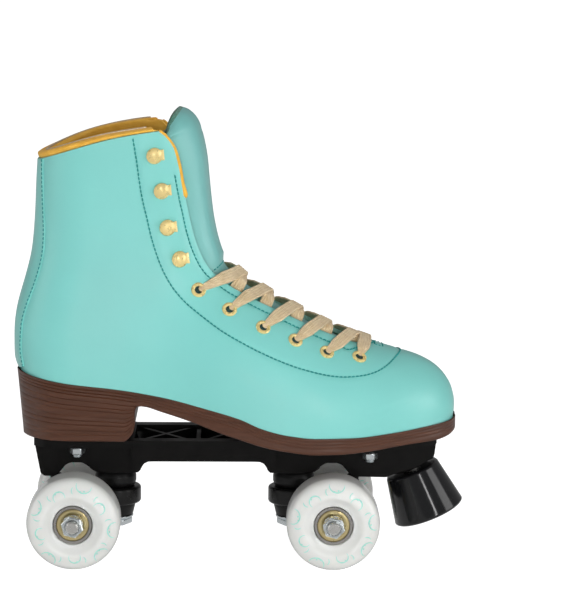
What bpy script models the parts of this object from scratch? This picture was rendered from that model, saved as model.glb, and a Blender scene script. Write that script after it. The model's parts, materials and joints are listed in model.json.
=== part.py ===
"""Quad roller skate, right foot: lace-up boot, nylon chassis, two sprung
steering trucks, four wheels on ball bearings and a toe stop.

Design coordinates are millimetres: x towards the toe with 0 midway between
the axles, y towards the inner (medial) side, z up from the ground. The model's
origin is the centre of its box, on the ground.
"""
import bpy
import bmesh
import math
import numpy as np
from mathutils import Vector, Matrix
from mathutils.bvhtree import BVHTree

for ob in list(bpy.data.objects):
    bpy.data.objects.remove(ob, do_unlink=True)
for mesh in list(bpy.data.meshes):
    bpy.data.meshes.remove(mesh)

# ------------------------------------------------------------ driving sizes
MM = 0.001
CENTRE_X = 20.85       # design x of the box centre
WHEELBASE = 150.0
WHEEL_D = 54.0
WHEEL_W = 32.0
WHEEL_Y = 42.0         # wheel centre from the middle plane
AXLE_Z = WHEEL_D / 2
BEARING_R = 11.0
BEARING_BORE = 4.1     # bore radius of the bearings and spacers
BEARING_W = 7.0
BEARING_Y = 9.5        # bearing centre from the wheel centre
GAP = 0.3              # clearance at bolt heads and beside bearings
PLATE_TOP = 71.0       # top face of the chassis under the heel and the arch
UPPER_THICK = 2.4
SHARP_ANGLE = 30.0     # degrees

# Places shared by several pieces; truck distances are from x = 0
SOLE_BOLTS = {"rear": (-74.0, 66.6), "front": (97.0, 64.2)}   # x, flange underside z
SOLE_BOLT_Y = 23.4
BOLT_SEAT = 3.5        # sole bolt head's underside below the feather line
KINGPIN_X = 52.8
RING_Z = 33.7          # centre of the hanger's ring
PIVOT_X, PIVOT_Z = 91.0, 55.0
PIVOT_LEAN = (0.2, 0.98)             # outward and upward parts of the pivot axis
STOP_TOP = np.array((122.5, 0.0, 50.5))      # toe stop axis, upper and lower ends
STOP_BOTTOM = np.array((133.7, 0.0, 23.5))
STOP_LENGTH = float(np.linalg.norm(STOP_TOP - STOP_BOTTOM))
STOP_AXIS = (STOP_TOP - STOP_BOTTOM) / STOP_LENGTH

SIDES = ((-1, "right"), (1, "left"))   # sign of y
ENDS = ((-1, "rear"), (1, "front"))    # sign of x
ACROSS = (0, 1, 0)
UP = (0, 0, 1)


# --------------------------------------------------------------- materials
def material(name, rgb, roughness, metallic=0.0):
    mat = bpy.data.materials.new(name)
    mat.use_nodes = True
    shader = mat.node_tree.nodes["Principled BSDF"]
    shader.inputs["Base Color"].default_value = (*rgb, 1.0)
    shader.inputs["Roughness"].default_value = roughness
    shader.inputs["Metallic"].default_value = metallic
    return mat


VINYL = material("turquoise_leather", rgb=(0.22, 0.64, 0.57), roughness=0.38)
LINING = material("mustard_textile", rgb=(0.80, 0.52, 0.15), roughness=0.9)
SOLE = material("brown_sole", rgb=(0.09, 0.03, 0.018), roughness=0.5)
LACE = material("cream_lace", rgb=(0.85, 0.72, 0.50), roughness=0.9)
GOLD = material("gold_lacquer", rgb=(0.85, 0.66, 0.27), roughness=0.35, metallic=0.6)
NYLON = material("black_nylon", rgb=(0.012, 0.012, 0.013), roughness=0.42)
RUBBER = material("black_rubber", rgb=(0.010, 0.010, 0.011), roughness=0.3)
URETHANE = material("white_urethane", rgb=(0.86, 0.86, 0.85), roughness=0.3)
ZINC = material("zinc", rgb=(0.62, 0.62, 0.60), roughness=0.3, metallic=1.0)
STEEL = material("steel", rgb=(0.50, 0.50, 0.50), roughness=0.3, metallic=1.0)
CAST = material("cast_alloy", rgb=(0.10, 0.10, 0.105), roughness=0.4, metallic=0.8)
CUSHION = material("cushion_rubber", rgb=(0.02, 0.02, 0.021), roughness=0.5)
FOAM = material("insole_foam", rgb=(0.30, 0.22, 0.10), roughness=0.95)


# ------------------------------------------------------------ mesh helpers
def to_world(x, y, z):
    return Vector(((x - CENTRE_X) * MM, y * MM, z * MM))


def new_object(name, mesh, mat, origin=None):
    """Object from a world-space mesh, its origin moved to `origin` (design mm)."""
    ob = bpy.data.objects.new(name, mesh)
    bpy.context.scene.collection.objects.link(ob)
    if origin is not None:
        offset = to_world(*origin)
        mesh.transform(Matrix.Translation(-offset))
        ob.location = offset
    mesh.name = name
    mesh.materials.clear()   # a Boolean may leave an empty slot
    mesh.materials.append(mat)
    mesh.shade_smooth()
    mesh.set_sharp_from_angle(angle=math.radians(SHARP_ANGLE))
    return ob


def raw_mesh(points, faces):
    """Mesh from design-mm points."""
    mesh = bpy.data.meshes.new("mesh")
    mesh.from_pydata([to_world(*p) for p in points], [], faces)
    mesh.validate()
    mesh.update()
    return mesh


def solid_mesh(points, faces):
    """Mesh from design-mm points, welded and with its normals outward."""
    mesh = raw_mesh(points, faces)
    bm = bmesh.new()
    bm.from_mesh(mesh)
    bmesh.ops.remove_doubles(bm, verts=bm.verts, dist=2e-6)
    bmesh.ops.recalc_face_normals(bm, faces=bm.faces)
    bm.to_mesh(mesh)
    bm.free()
    return mesh


def loft(rings):
    """Capped solid through rings of equal length; each ring is a list of points."""
    n = len(rings[0])
    faces = []
    for i in range(len(rings) - 1):
        for j in range(n):
            k = (j + 1) % n
            faces.append((i * n + j, i * n + k, (i + 1) * n + k, (i + 1) * n + j))
    last = (len(rings) - 1) * n
    faces.append(tuple(range(n - 1, -1, -1)))
    faces.append(tuple(range(last, last + n)))
    return solid_mesh([p for ring in rings for p in ring], faces)


def turned(profile, origin, axis, count, phase=0.5):
    """Solid of revolution. profile: closed polygon of (radius, height) pairs;
    height runs along axis from origin. A radius of 0 is a pole."""
    axis = Vector(axis).normalized()
    ref = Vector((0, 0, 1)) if abs(axis.z) < 0.9 else Vector((1, 0, 0))
    across = axis.cross(ref).normalized()
    other = axis.cross(across).normalized()
    origin = Vector(origin)
    points, loops = [], []
    for radius, height in profile:
        if radius <= 1e-6:
            loops.append([len(points)] * count)
            points.append(origin + axis * height)
            continue
        ring = []
        for k in range(count):
            angle = 2 * math.pi * (k + phase) / count
            spoke = across * math.cos(angle) + other * math.sin(angle)
            ring.append(len(points))
            points.append(origin + axis * height + spoke * radius)
        loops.append(ring)
    faces = []
    for i, near in enumerate(loops):
        far = loops[(i + 1) % len(loops)]
        near_pole, far_pole = near[0] == near[1], far[0] == far[1]
        if near_pole and far_pole:
            continue
        for k in range(count):
            m = (k + 1) % count
            if near_pole:
                faces.append((near[k], far[m], far[k]))
            elif far_pole:
                faces.append((near[k], near[m], far[k]))
            else:
                faces.append((near[k], near[m], far[m], far[k]))
    return solid_mesh(points, faces)


def tube(inner, outer, start, end):
    """Profile for turned(): a plain tube from height start to end."""
    return [(inner, start), (outer, start), (outer, end), (inner, end)]


def rod(radius, start, end):
    return tube(0, radius, start, end)


def prism_y(outline, y0, y1):
    """Outline in x, z drawn out along y."""
    return loft([[(x, y, z) for x, z in outline] for y in (y0, y1)])


def beam_x(stations):
    """Beam along x: stations of (x, half width, lower z, upper z)."""
    return loft([[(x, -w, low), (x, w, low), (x, w, high), (x, -w, high)]
                 for x, w, low, high in stations])


def boolean(base, others, operation):
    """Apply an exact Boolean of each mesh in others to base; returns a mesh."""
    ob = bpy.data.objects.new("tmp_base", base)
    bpy.context.scene.collection.objects.link(ob)
    tools = []
    for mesh in others:
        tool = bpy.data.objects.new("tmp_tool", mesh)
        bpy.context.scene.collection.objects.link(tool)
        tools.append(tool)
        modifier = ob.modifiers.new("boolean", "BOOLEAN")
        modifier.operation = operation
        modifier.solver = "EXACT"
        modifier.object = tool
    depsgraph = bpy.context.evaluated_depsgraph_get()
    depsgraph.update()
    result = bpy.data.meshes.new_from_object(ob.evaluated_get(depsgraph))
    for temp in tools + [ob]:
        bpy.data.objects.remove(temp, do_unlink=True)
    bm = bmesh.new()
    bm.from_mesh(result)
    bmesh.ops.remove_doubles(bm, verts=bm.verts, dist=1e-6)
    bm.to_mesh(result)
    bm.free()
    return result


def union(base, *others):
    return boolean(base, others, "UNION")


def cut(base, *others):
    return boolean(base, others, "DIFFERENCE")


# ------------------------------------------------------------ curve helpers
def interp(x, table, column=1):
    """Smooth interpolation in a table that rises in its first column; the
    harmonic mean of neighbouring slopes keeps it from overshooting."""
    xs = [entry[0] for entry in table]
    ys = [entry[column] for entry in table]
    if x <= xs[0]:
        return ys[0]
    if x >= xs[-1]:
        return ys[-1]
    i = 0
    while x > xs[i + 1]:
        i += 1
    h = xs[i + 1] - xs[i]
    t = (x - xs[i]) / h

    def slope(k):
        if k == 0:
            return (ys[1] - ys[0]) / (xs[1] - xs[0])
        if k == len(xs) - 1:
            return (ys[-1] - ys[-2]) / (xs[-1] - xs[-2])
        before = (ys[k] - ys[k - 1]) / (xs[k] - xs[k - 1])
        after = (ys[k + 1] - ys[k]) / (xs[k + 1] - xs[k])
        if before * after <= 0:
            return 0.0
        return 2 * before * after / (before + after)

    return ((2 * t ** 3 - 3 * t ** 2 + 1) * ys[i]
            + (t ** 3 - 2 * t ** 2 + t) * h * slope(i)
            + (-2 * t ** 3 + 3 * t ** 2) * ys[i + 1]
            + (t ** 3 - t ** 2) * h * slope(i + 1))


def catmull(points, t):
    """Point on a Catmull-Rom curve through points at parameter t (0..len-1)."""
    n = len(points)
    i = min(max(int(math.floor(t)), 0), n - 2)
    f = t - i
    near = [points[min(max(k, 0), n - 1)] for k in (i - 1, i, i + 1, i + 2)]
    if i == 0:
        near[0] = [2 * a - b for a, b in zip(points[0], points[1])]
    if i == n - 2:
        near[3] = [2 * a - b for a, b in zip(points[-1], points[-2])]
    return [0.5 * ((2 * b) + (c - a) * f + (2 * a - 5 * b + 4 * c - d) * f * f
                   + (3 * b - a - 3 * c + d) * f ** 3) for a, b, c, d in zip(*near)]


def smooth01(t):
    t = min(max(t, 0.0), 1.0)
    return t * t * (3 - 2 * t)


def spaced(start, end, n):
    return [start + (end - start) * k / n for k in range(n + 1)]


def unit(vector):
    return vector / np.linalg.norm(vector)


# ------------------------------------------------------- shape of the boot
# Control rows: crest point (x, z), then lower or rear point (x, z). Rows fan
# from the toe (pole at the sole edge) over the instep to the collar.
ROWS = [
    ((146.6, 82.0), (146.6, 82.0)),
    ((147.5, 87.0), (144.5, 81.7)),
    ((147.0, 94.5), (139.0, 81.1)),
    ((143.6, 103.5), (130.0, 80.2)),
    ((136.5, 111.5), (118.0, 78.9)),
    ((126.5, 117.2), (104.0, 77.3)),
    ((114.0, 121.2), (88.0, 76.2)),
    ((101.0, 125.0), (70.0, 75.9)),
    ((88.0, 129.5), (50.0, 77.8)),
    ((72.0, 136.0), (28.0, 84.2)),
    ((56.0, 144.0), (0.0, 92.4)),
    ((40.0, 152.5), (-30.0, 98.7)),
    ((27.0, 160.5), (-60.0, 102.7)),
    ((17.0, 168.5), (-85.0, 105.6)),
    ((10.8, 177.0), (-108.9, 109.3)),
    ((7.2, 187.0), (-111.5, 127.0)),
    ((4.6, 199.0), (-110.0, 146.0)),
    ((3.0, 211.0), (-104.6, 165.5)),
    ((1.8, 223.0), (-101.0, 181.0)),
    ((0.6, 235.0), (-99.0, 201.0)),
    ((-1.5, 246.0), (-98.0, 220.0)),
    ((-3.9, 253.8), (-97.1, 233.2)),
    ((-4.8, 258.5), (-97.0, 238.2)),
]
HEEL_ROW = 14            # ends at the heel's rear corner on the sole
UPPER_ROW = 21           # the upper's top edge
TOP_ROW = len(ROWS) - 1  # top of the padded collar
CREST_ROWS = [crest for crest, base in ROWS]
BASE_ROWS = [base for crest, base in ROWS]

# Plan of the feather edge: root of the distance from the toe tip, then the
# half width on the lateral side and on the medial side.
TOE_X = 147.0
PLAN = [(0.0, 0.0, 0.0), (1.0, 10.5, 10.5), (2.24, 19.7, 19.5), (3.2, 25.2, 24.8),
        (4.36, 31.2, 30.4), (6.0, 39.0, 37.0), (7.28, 44.4, 41.8), (8.4, 48.2, 44.8),
        (9.38, 50.0, 46.2), (10.25, 50.2, 46.5), (11.04, 48.6, 45.8),
        (11.8, 45.4, 43.8), (12.5, 41.2, 40.8), (13.3, 37.2, 37.2),
        (14.03, 35.2, 35.2), (14.9, 34.6, 34.6), (16.1, 34.2, 34.2)]
# Half width of the shaft: z, half width
SHAFT_WIDTH = [(100, 34.4), (130, 34.0), (150, 33.0), (170, 32.4), (190, 33.0),
               (210, 34.8), (230, 37.2), (245, 39.2), (258, 40.4)]
# Depth of the rounding behind the crest: arc along the crest from the toe, depth
CREST_DEPTH = [(0, 70.0), (30, 66.0), (55, 53.0), (80, 49.0), (130, 48.0),
               (160, 43.0), (185, 39.0), (260, 38.0)]
HEEL_DEPTH = 36.0        # depth of the rounding at the back
# Feather line between upper and sole: x, z
SOLE_LINE = [(-112, 109.8), (-108.9, 109.3), (-89.7, 106.2), (-75.7, 104.3),
             (-52.3, 101.9), (-38.3, 100.0), (-19.6, 96.9), (-5.5, 93.7),
             (20.9, 87.0), (33.0, 81.9), (49.0, 77.9), (65.0, 76.2), (86.0, 76.1),
             (107.0, 77.6), (128.6, 80.0), (147.0, 82.0), (150.0, 82.3)]
# Back of the boot: z, x
BACK_LINE = [(60, -109.0), (109.3, -108.9), (119, -110.8), (127, -111.5), (138, -111.3),
             (149.6, -108.9), (157, -106.8), (165.0, -104.7), (172, -102.6),
             (178.7, -101.0), (192, -99.6), (201, -99.0), (220, -98.1),
             (236.5, -97.0), (260, -96.0)]

# The crest as a fine polyline and the arc length at each of its points
CREST = np.array([catmull(CREST_ROWS, TOP_ROW * k / 260.0) for k in range(261)])
CREST_ARC = np.concatenate(([0.0], np.cumsum(np.hypot(*(CREST[1:] - CREST[:-1]).T))))
TOP_ARC = float(CREST_ARC[-1])

# Half gap between the facings: arc from the throat's toe end, half gap
THROAT_END_X = 95.5
THROAT = [(0.0, 3.0), (1.0, 9.0), (3.5, 12.3), (8.0, 14.2), (14.0, 15.3), (24.0, 16.4),
          (38.0, 17.8), (50.0, 19.0), (60.0, 20.2), (70.0, 21.2), (82.0, 21.7),
          (92.0, 22.0), (100.0, 22.9), (110.0, 24.0), (124.0, 25.0), (131.0, 25.8),
          (138.0, 27.6), (148.0, 29.4), (158.0, 31.0), (167.0, 32.1), (175.5, 33.2),
          (178.3, 34.2), (180.4, 35.9), (181.8, 37.6), (183.5, 38.2)]


def crest_distance(x, z):
    """Distance from the crest line and the arc position of the nearest point."""
    start = CREST[:-1]
    step = CREST[1:] - start
    point = np.array((x, z))
    t = np.clip(((point - start) * step).sum(1) / (step * step).sum(1), 0, 1)
    nearest = start + step * t[:, None]
    d = np.hypot(*(point - nearest).T)
    k = int(d.argmin())
    return float(d[k]), float(CREST_ARC[k] + t[k] * (CREST_ARC[k + 1] - CREST_ARC[k]))


def front_factor(x, z):
    """Share of the full width left by the rounding behind the crest."""
    distance, arc = crest_distance(x, z)
    q = min(distance / interp(arc, CREST_DEPTH), 1.0)
    return math.sqrt(max(1.0 - (1.0 - q) ** 2, 0.0))


def heel_factor(x, back_x):
    """Share of the full width left by the rounding in front of back_x."""
    q = min(max((x - back_x) / HEEL_DEPTH, 0.0), 1.0)
    return math.sqrt(max(1.0 - (1.0 - q) ** 2.2, 0.0))


def back_factor(x, z):
    return heel_factor(x, interp(z, BACK_LINE))


def sole_top(x):
    return interp(x, SOLE_LINE)


def plan_width(x, side):
    return interp(math.sqrt(max(TOE_X - x, 0.0)), PLAN, 1 if side < 0 else 2)


def full_width(x, z, side):
    """Half width before rounding: the sole's plan blended into the shaft."""
    k = smooth01((z - 105.0) / 65.0) * smooth01((45.0 - x) / 60.0)
    return plan_width(x, side) * (1 - k) + interp(z, SHAFT_WIDTH) * k


def boot_point(row, down, side):
    """Point on the outside of the upper; down is 0 at the crest and 1 at the
    sole or back."""
    crest = catmull(CREST_ROWS, row)
    base = catmull(BASE_ROWS, row)
    if row < HEEL_ROW:
        base[1] = sole_top(base[0])
    bow = 4.6 * smooth01((row - 17.0) / 4.0)   # rise of the collar edge mid-row
    x = crest[0] + (base[0] - crest[0]) * down
    z = crest[1] + (base[1] - crest[1]) * down + bow * math.sin(math.pi * down)
    if down <= 0.0 or (row >= HEEL_ROW and down >= 1.0):
        return (x, 0.0, z)
    if row < HEEL_ROW and down >= 1.0:
        return (x, side * plan_width(base[0], side) * back_factor(*base), z)
    front = front_factor(x, z)
    width = full_width(x, z, side) * front * back_factor(x, z)
    if row < HEEL_ROW:
        toe_width = plan_width(base[0], side) * front / max(front_factor(*base), 1e-4)
        k = smooth01((row - 6.0) / 5.0)
        width = toe_width * (1 - k) + width * k
    return (x, side * width, z)


def surface_at(arc, y, side):
    """Point, outward normal and crest tangent of the upper at a crest arc,
    |y| off the middle plane."""
    k = int(np.searchsorted(CREST_ARC, arc)) - 1
    k = min(max(k, 0), len(CREST) - 2)
    f = (arc - CREST_ARC[k]) / (CREST_ARC[k + 1] - CREST_ARC[k])
    crest = CREST[k] + (CREST[k + 1] - CREST[k]) * f
    tx, tz = unit(CREST[min(k + 3, len(CREST) - 1)] - CREST[max(k - 2, 0)])
    nx, nz = tz, -tx                      # outward: up and forward
    depth = interp(arc, CREST_DEPTH)
    d = 0.0
    for _ in range(6):                    # width and depth depend on each other
        width = full_width(crest[0] - nx * d, crest[1] - nz * d, side)
        q = min(abs(y) / width, 0.999)
        d = depth * (1 - math.sqrt(1 - q * q))
    q = min(abs(y) / width, 0.995)
    slope = depth * q / (width * math.sqrt(1 - q * q))   # of depth against y
    length = math.hypot(1.0, slope)
    point = (crest[0] - nx * d, side * abs(y), crest[1] - nz * d)
    return point, (nx / length, side * slope / length, nz / length), (tx, 0.0, tz)


def find_throat_arc():
    """Crest arc where the throat ends towards the toe."""
    k = next(k for k in range(1, len(CREST)) if CREST[k][0] <= THROAT_END_X)
    f = (CREST[k - 1][0] - THROAT_END_X) / (CREST[k - 1][0] - CREST[k][0])
    return float(CREST_ARC[k - 1] + f * (CREST_ARC[k] - CREST_ARC[k - 1]))


THROAT_ARC = find_throat_arc()


def find_throat_row():
    """Row whose crest point is the toe end of the throat."""
    low, high = 5.0, 9.0
    for _ in range(30):
        row = 0.5 * (low + high)
        if crest_distance(*catmull(CREST_ROWS, row))[1] < THROAT_ARC:
            low = row
        else:
            high = row
    return 0.5 * (low + high)


THROAT_ROW = find_throat_row()


def throat_half(arc):
    return interp(arc - THROAT_ARC, THROAT)


def facing_edge(row, side):
    """Place of the facing's edge down the row."""
    low, high = 0.0, 0.6
    for _ in range(28):
        down = 0.5 * (low + high)
        x, y, z = boot_point(row, down, side)
        arc = crest_distance(x, z)[1]
        if arc < THROAT_ARC or abs(y) > throat_half(arc):
            high = down
        else:
            low = down
    return 0.5 * (low + high)


def row_spacing(row, a):
    """Even step a moved closer to the crest, and to the back on heel and shaft."""
    k = smooth01((row - 11.0) / 2.6)
    return (k * (0.35 * a + 0.65 * 0.5 * (1 - math.cos(math.pi * a)))
            + (1 - k) * (0.5 * a + 0.5 * (1 - math.cos(math.pi * a / 2))))


def boot_grid(rows, steps, throat=True):
    """Open surface over rows (0 is the toe pole), both sides welded along the
    vamp's crest and the back; throat False closes it over the instep.
    Returns points, (row, place from the facing) of each, triangles, normals."""
    points, places, faces = [boot_point(0.0, 0.0, 1)], [(0.0, 1.0)], []
    grids = {}
    for side in (-1, 1):
        grid = []
        for i, row in enumerate(rows[1:]):
            start = facing_edge(row, side) if throat and row > THROAT_ROW else 0.0
            crest_weld = row <= THROAT_ROW or not throat
            line = []
            for j in range(steps + 1):
                welded = (j == 0 and crest_weld) or (j == steps and row >= HEEL_ROW)
                if side == 1 and welded:
                    line.append(grids[-1][i][j])
                    continue
                a = j / steps
                line.append(len(points))
                points.append(boot_point(row, start + (1 - start) * row_spacing(row, a), side))
                places.append((row, a if start > 0 else 1.0))
            grid.append(line)
        grids[side] = grid
        turn = -1 if side == -1 else 1
        for j in range(steps):
            faces.append((0, grid[0][j], grid[0][j + 1])[::turn])
        for line, following in zip(grid[:-1], grid[1:]):
            for j in range(steps):
                faces.append((line[j], following[j], following[j + 1])[::turn])
                faces.append((line[j], following[j + 1], line[j + 1])[::turn])
    points = np.array(points)
    normals = np.zeros_like(points)
    for face in faces:
        a, b, c = points[list(face)]
        normal = np.cross(b - a, c - a)
        for v in face:
            normals[v] += normal
    normals /= np.maximum(np.linalg.norm(normals, axis=1), 1e-9)[:, None]
    if normals[0][0] < 0:                 # the toe must face forward
        normals = -normals
        faces = [face[::-1] for face in faces]
    return points, places, faces, normals


# ------------------------------------------------------------------ the boot
ROW_STEPS = 7
SHELL_LIFT = 0.3       # upper and lining stand this far above the design surface
UPPER_ROWS = ([0.0, 0.7, 1.4, 2.2, 3.0, 4.0, 5.0, 6.0, THROAT_ROW,
               THROAT_ROW + 0.12, THROAT_ROW + 0.5, THROAT_ROW + 1.2]
              + spaced(9.0, 13.0, 5) + [13.35, 13.62, 13.82, 13.95]
              + spaced(float(HEEL_ROW), float(UPPER_ROW), 7))
LINING_ROWS = [row for row in UPPER_ROWS if row <= 20.0] + [21.03, 21.22, 21.55, 22.0]

# Lining: its outside lies under the upper, then steps out above the upper's edge
LINING_INSET = 3.0
COLLAR_START = 21.05
COLLAR_INSET = [(21.05, 0.2), (21.55, 0.2), (22.0, 2.6)]      # row, outer inset
LINING_INNER_INSET = 4.8
# row, extra padding inwards
COLLAR_PAD = [(0, 0.0), (19.0, 0.0), (20.0, 2.6), (21.0, 4.2), (21.5, 4.0), (22.0, 0.6)]


def thick_grid(rows, outer, inner):
    """Closed shell between two insets of the boot surface; outer(row) and
    inner(row, place) give the insets in mm."""
    points, places, faces, normals = boot_grid(rows, ROW_STEPS)
    n = len(points)
    outside = points - normals * np.array([outer(row) for row, a in places])[:, None]
    inside = points - normals * np.array([inner(row, a) for row, a in places])[:, None]
    shell = np.concatenate((outside, inside))
    shell[:, 2] += SHELL_LIFT
    edges = {}     # a dict keeps the edges in a fixed order
    for a, b, c in faces:
        for edge in ((a, b), (b, c), (c, a)):
            edges[edge] = True
    all_faces = list(faces) + [tuple(v + n for v in face[::-1]) for face in faces]
    for a, b in edges:
        if (b, a) not in edges:
            all_faces.append((b, a, a + n, b + n))
    return solid_mesh([tuple(p) for p in shell], all_faces)


def build_upper():
    mesh = thick_grid(UPPER_ROWS, lambda row: 0.0, lambda row, a: UPPER_THICK)
    return new_object("boot_upper", mesh, VINYL)


def build_lining():
    def outer(row):
        return LINING_INSET if row < COLLAR_START else interp(row, COLLAR_INSET)

    def inner(row, a):
        return LINING_INNER_INSET + interp(row, COLLAR_PAD) * smooth01(a / 0.3)

    new_object("collar_lining", thick_grid(LINING_ROWS, outer, inner), LINING)


# Tongue, by station from the toe end
TONGUE_STEPS = 15      # even steps along the crest, then one station above it
TONGUE_ABOVE = 8.0
TONGUE_HALF = [(0, 6.5), (1, 15.0), (2, 22.0), (5, 29.0), (9, 32.0), (13, 32.5), (16, 31.0)]
TONGUE_THICK = [(0, 2.4), (3, 4.5), (9, 7.5), (14, 9.0), (16, 7.5)]


def build_tongue():
    """Padded panel under the facings, out of the throat to above the collar."""
    rings = []
    for k in range(TONGUE_STEPS + 2):
        arc = THROAT_ARC + 3.0 + (TOP_ARC - 7.0 - THROAT_ARC) * k / TONGUE_STEPS
        arc = min(arc, TOP_ARC - 1.0)
        above = TONGUE_ABOVE if k > TONGUE_STEPS else 0.0
        half = interp(k, TONGUE_HALF)
        thick = interp(k, TONGUE_THICK)
        top, bottom = [], []
        for j in range(9):
            y = half * (-1 + 2 * j / 8)
            point, normal, tangent = map(np.array, surface_at(arc, y, -1 if y < 0 else 1))
            # sunk deeper where it passes under the facings
            beside = abs(y) / max(throat_half(arc), 4.0)
            inset = 0.8 + 6.2 * smooth01((beside - 0.3) / 0.5)
            full = inset + thick * (1 - 0.45 * (abs(y) / half) ** 4)
            top.append(tuple(point - normal * inset + tangent * above))
            bottom.append(tuple(point - normal * full + tangent * above))
        rings.append(top + bottom[::-1])
    new_object("tongue", loft(rings), VINYL)


INSOLE_X = [-97.5, -95, -91, -82, -66, -48, -30, -12, 6, 24, 42, 60, 80, 100, 116, 128,
            135, 139]


def build_insole():
    """Foot bed on the outsole's top, inside the lining."""
    rings = []
    for x in INSOLE_X:
        lateral, medial = [
            max(plan_width(x + 5.0, side) * heel_factor(x, -101.5) - 8.0, 2.0)
            for side in (-1, 1)]
        low, high = sole_top(x) + 0.4, sole_top(x) + 4.4
        rings.append([(x, -lateral, low), (x, medial, low),
                      (x, medial, high), (x, -lateral, high)])
    new_object("insole", loft(rings), FOAM)


# Underside of the outsole: x, z
SOLE_BOTTOM = [(-120, 71.3), (-46.5, 71.3), (-43.5, 73.6), (-41.2, 77.0), (-40.2, 81.0),
               (-39.8, 90.0), (-38.6, 92.6), (-36.0, 93.0), (-24.0, 89.9), (-6.0, 84.6),
               (12.0, 78.4), (21.0, 75.8), (33.0, 72.2), (49.0, 69.1), (58.0, 67.9),
               (65.0, 67.4), (76.0, 67.4), (85.0, 67.8), (97.0, 68.8), (110.0, 70.4),
               (122.0, 71.5), (136.0, 72.2), (143.0, 73.6), (148.4, 76.0)]
OUTSOLE_X = [-110.4, -109.4, -107.0, -103.0, -96.0, -86.0, -70.0, -54.0, -46.5, -43.5,
             -41.2, -40.2, -39.6, -37.5, -30.0, -18.0, -4.0, 10.0, 24.0, 38.0, 52.0, 66.0,
             80.0, 95.0, 110.0, 122.0, 132.0, 139.0, 143.5, 146.6, 148.3]


def build_outsole():
    """Unit sole with a raised heel, bored for the four sole bolts."""
    rings = []
    for x in OUTSOLE_X:
        lateral, medial = [
            max(plan_width(x - 1.3, side) + 1.0, 3.0) * max(heel_factor(x, -110.6), 0.08)
            for side in (-1, 1)]
        top = sole_top(x) - 1.0 - 0.9 * smooth01((-75.0 - x) / 12.0)
        bottom = interp(x, SOLE_BOTTOM)
        middle = top - min(7.0, 0.5 * (top - bottom))
        taper = 1.0 - 0.08 * smooth01((-35.0 - x) / 10.0)
        lean = smooth01((-85.0 - x) / 25.0)          # the heel's rear slopes in
        x_low, x_mid = x + 3.4 * lean, x + 0.7 * lean
        rings.append([(x, -lateral, top), (x, -lateral * 0.4, top),
                      (x, medial * 0.4, top), (x, medial, top),
                      (x_mid, medial, middle), (x_low, medial * taper, bottom + 1.2),
                      (x_low, medial * taper - 1.2, bottom),
                      (x_low, -lateral * taper + 1.2, bottom),
                      (x_low, -lateral * taper, bottom + 1.2), (x_mid, -lateral, middle)])
    drills = []
    for x, flange_z in SOLE_BOLTS.values():
        seat = sole_top(x) - (BOLT_SEAT + GAP)
        profile = [(0, 60), (2.9, 60), (2.9, seat), (5.6, seat), (5.6, seat + 12),
                   (0, seat + 12)]
        for side in (-1, 1):
            drills.append(turned(profile, (x, side * SOLE_BOLT_Y, 0), UP, 12))
    new_object("outsole", cut(loft(rings), *drills), SOLE)


# ----------------------------------------------- laces, eyelets and hooks
# Places as (x, z) seen from the side, from the toe end
EYELETS = [(89.9, 120.9), (70.9, 124.5), (52.6, 131.7), (33.9, 139.5), (14.5, 149.4),
           (-3.4, 160.3)]
HOOKS = [(-14.8, 178.2), (-21.7, 196.8), (-25.0, 218.2), (-29.0, 238.6)]
EYELET_PROFILE = [(2.6, 0), (4.3, 0), (3.8, 1.1), (2.6, 1.1)]
HOOK_PROFILE = [(0, 0), (2.6, 0), (2.6, 1.1), (4.6, 1.4), (3.7, 3.4), (0, 3.4)]
LACE_WIDTH, LACE_THICK = 7.0, 1.1
LACE_STEPS = 6
STRIP_WIDTH, STRIP_THICK = 2.6, 0.6


def tree_of(mesh):
    bm = bmesh.new()
    bm.from_mesh(mesh)
    tree = BVHTree.FromBMesh(bm)
    bm.free()
    return tree


def make_skins(upper):
    """Search trees of the boot closed over the instep and of the upper."""
    points, _, faces, _ = boot_grid(spaced(0.0, 22.0, 33), 9, throat=False)
    return [tree_of(raw_mesh([tuple(p) for p in points], faces)), tree_of(upper.data)]


def ray_distance(skins, start, direction, reach):
    """Distance in metres to the first skin met, or 1.0 when none is."""
    hits = [tree.ray_cast(start, direction, reach) for tree in skins]
    return min([1.0] + [hit[3] for hit in hits if hit[0] is not None])


def side_spot(skins, spot, side):
    """Point and normal of the boot's outside at (x, z) seen from one side."""
    start_y = 90.0

    def hit(x, z):
        start = to_world(x, side * start_y, z)
        distance = ray_distance(skins, start, Vector((0, -side, 0)), start_y * MM)
        return np.array((x, side * (start_y - distance / MM), z))

    x, z = spot
    normal = unit(np.cross(hit(x + 3, z) - hit(x - 3, z), hit(x, z + 3) - hit(x, z - 3)))
    if normal[1] * side < 0:
        normal = -normal
    return hit(x, z), normal


def over_throat(skins, spot_a, spot_b, f, lift):
    """Point between two spots, laid over the instep `lift` mm off the outside."""
    (point_a, normal_a), (point_b, normal_b) = spot_a, spot_b
    middle = (point_a + point_b) / 2
    arc = crest_distance(middle[0], middle[2])[1]
    crest_normal = np.array(surface_at(arc, 0.0, 1)[1])
    k = math.sin(math.pi * min(max(f, 0.0), 1.0))
    normal = unit((1 - f) * normal_a + f * normal_b + 1.4 * k * crest_normal)
    start = to_world(*(point_a + (point_b - point_a) * f + normal * 70.0))
    inward = -Vector(tuple(normal))
    distance = ray_distance(skins, start, inward, 0.14)
    if distance > 0.5:       # nothing met: stay on the straight line
        distance = 0.07
    point = start + inward * (distance - lift * MM)
    return (point.x / MM + CENTRE_X, point.y / MM, point.z / MM), tuple(normal)


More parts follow.
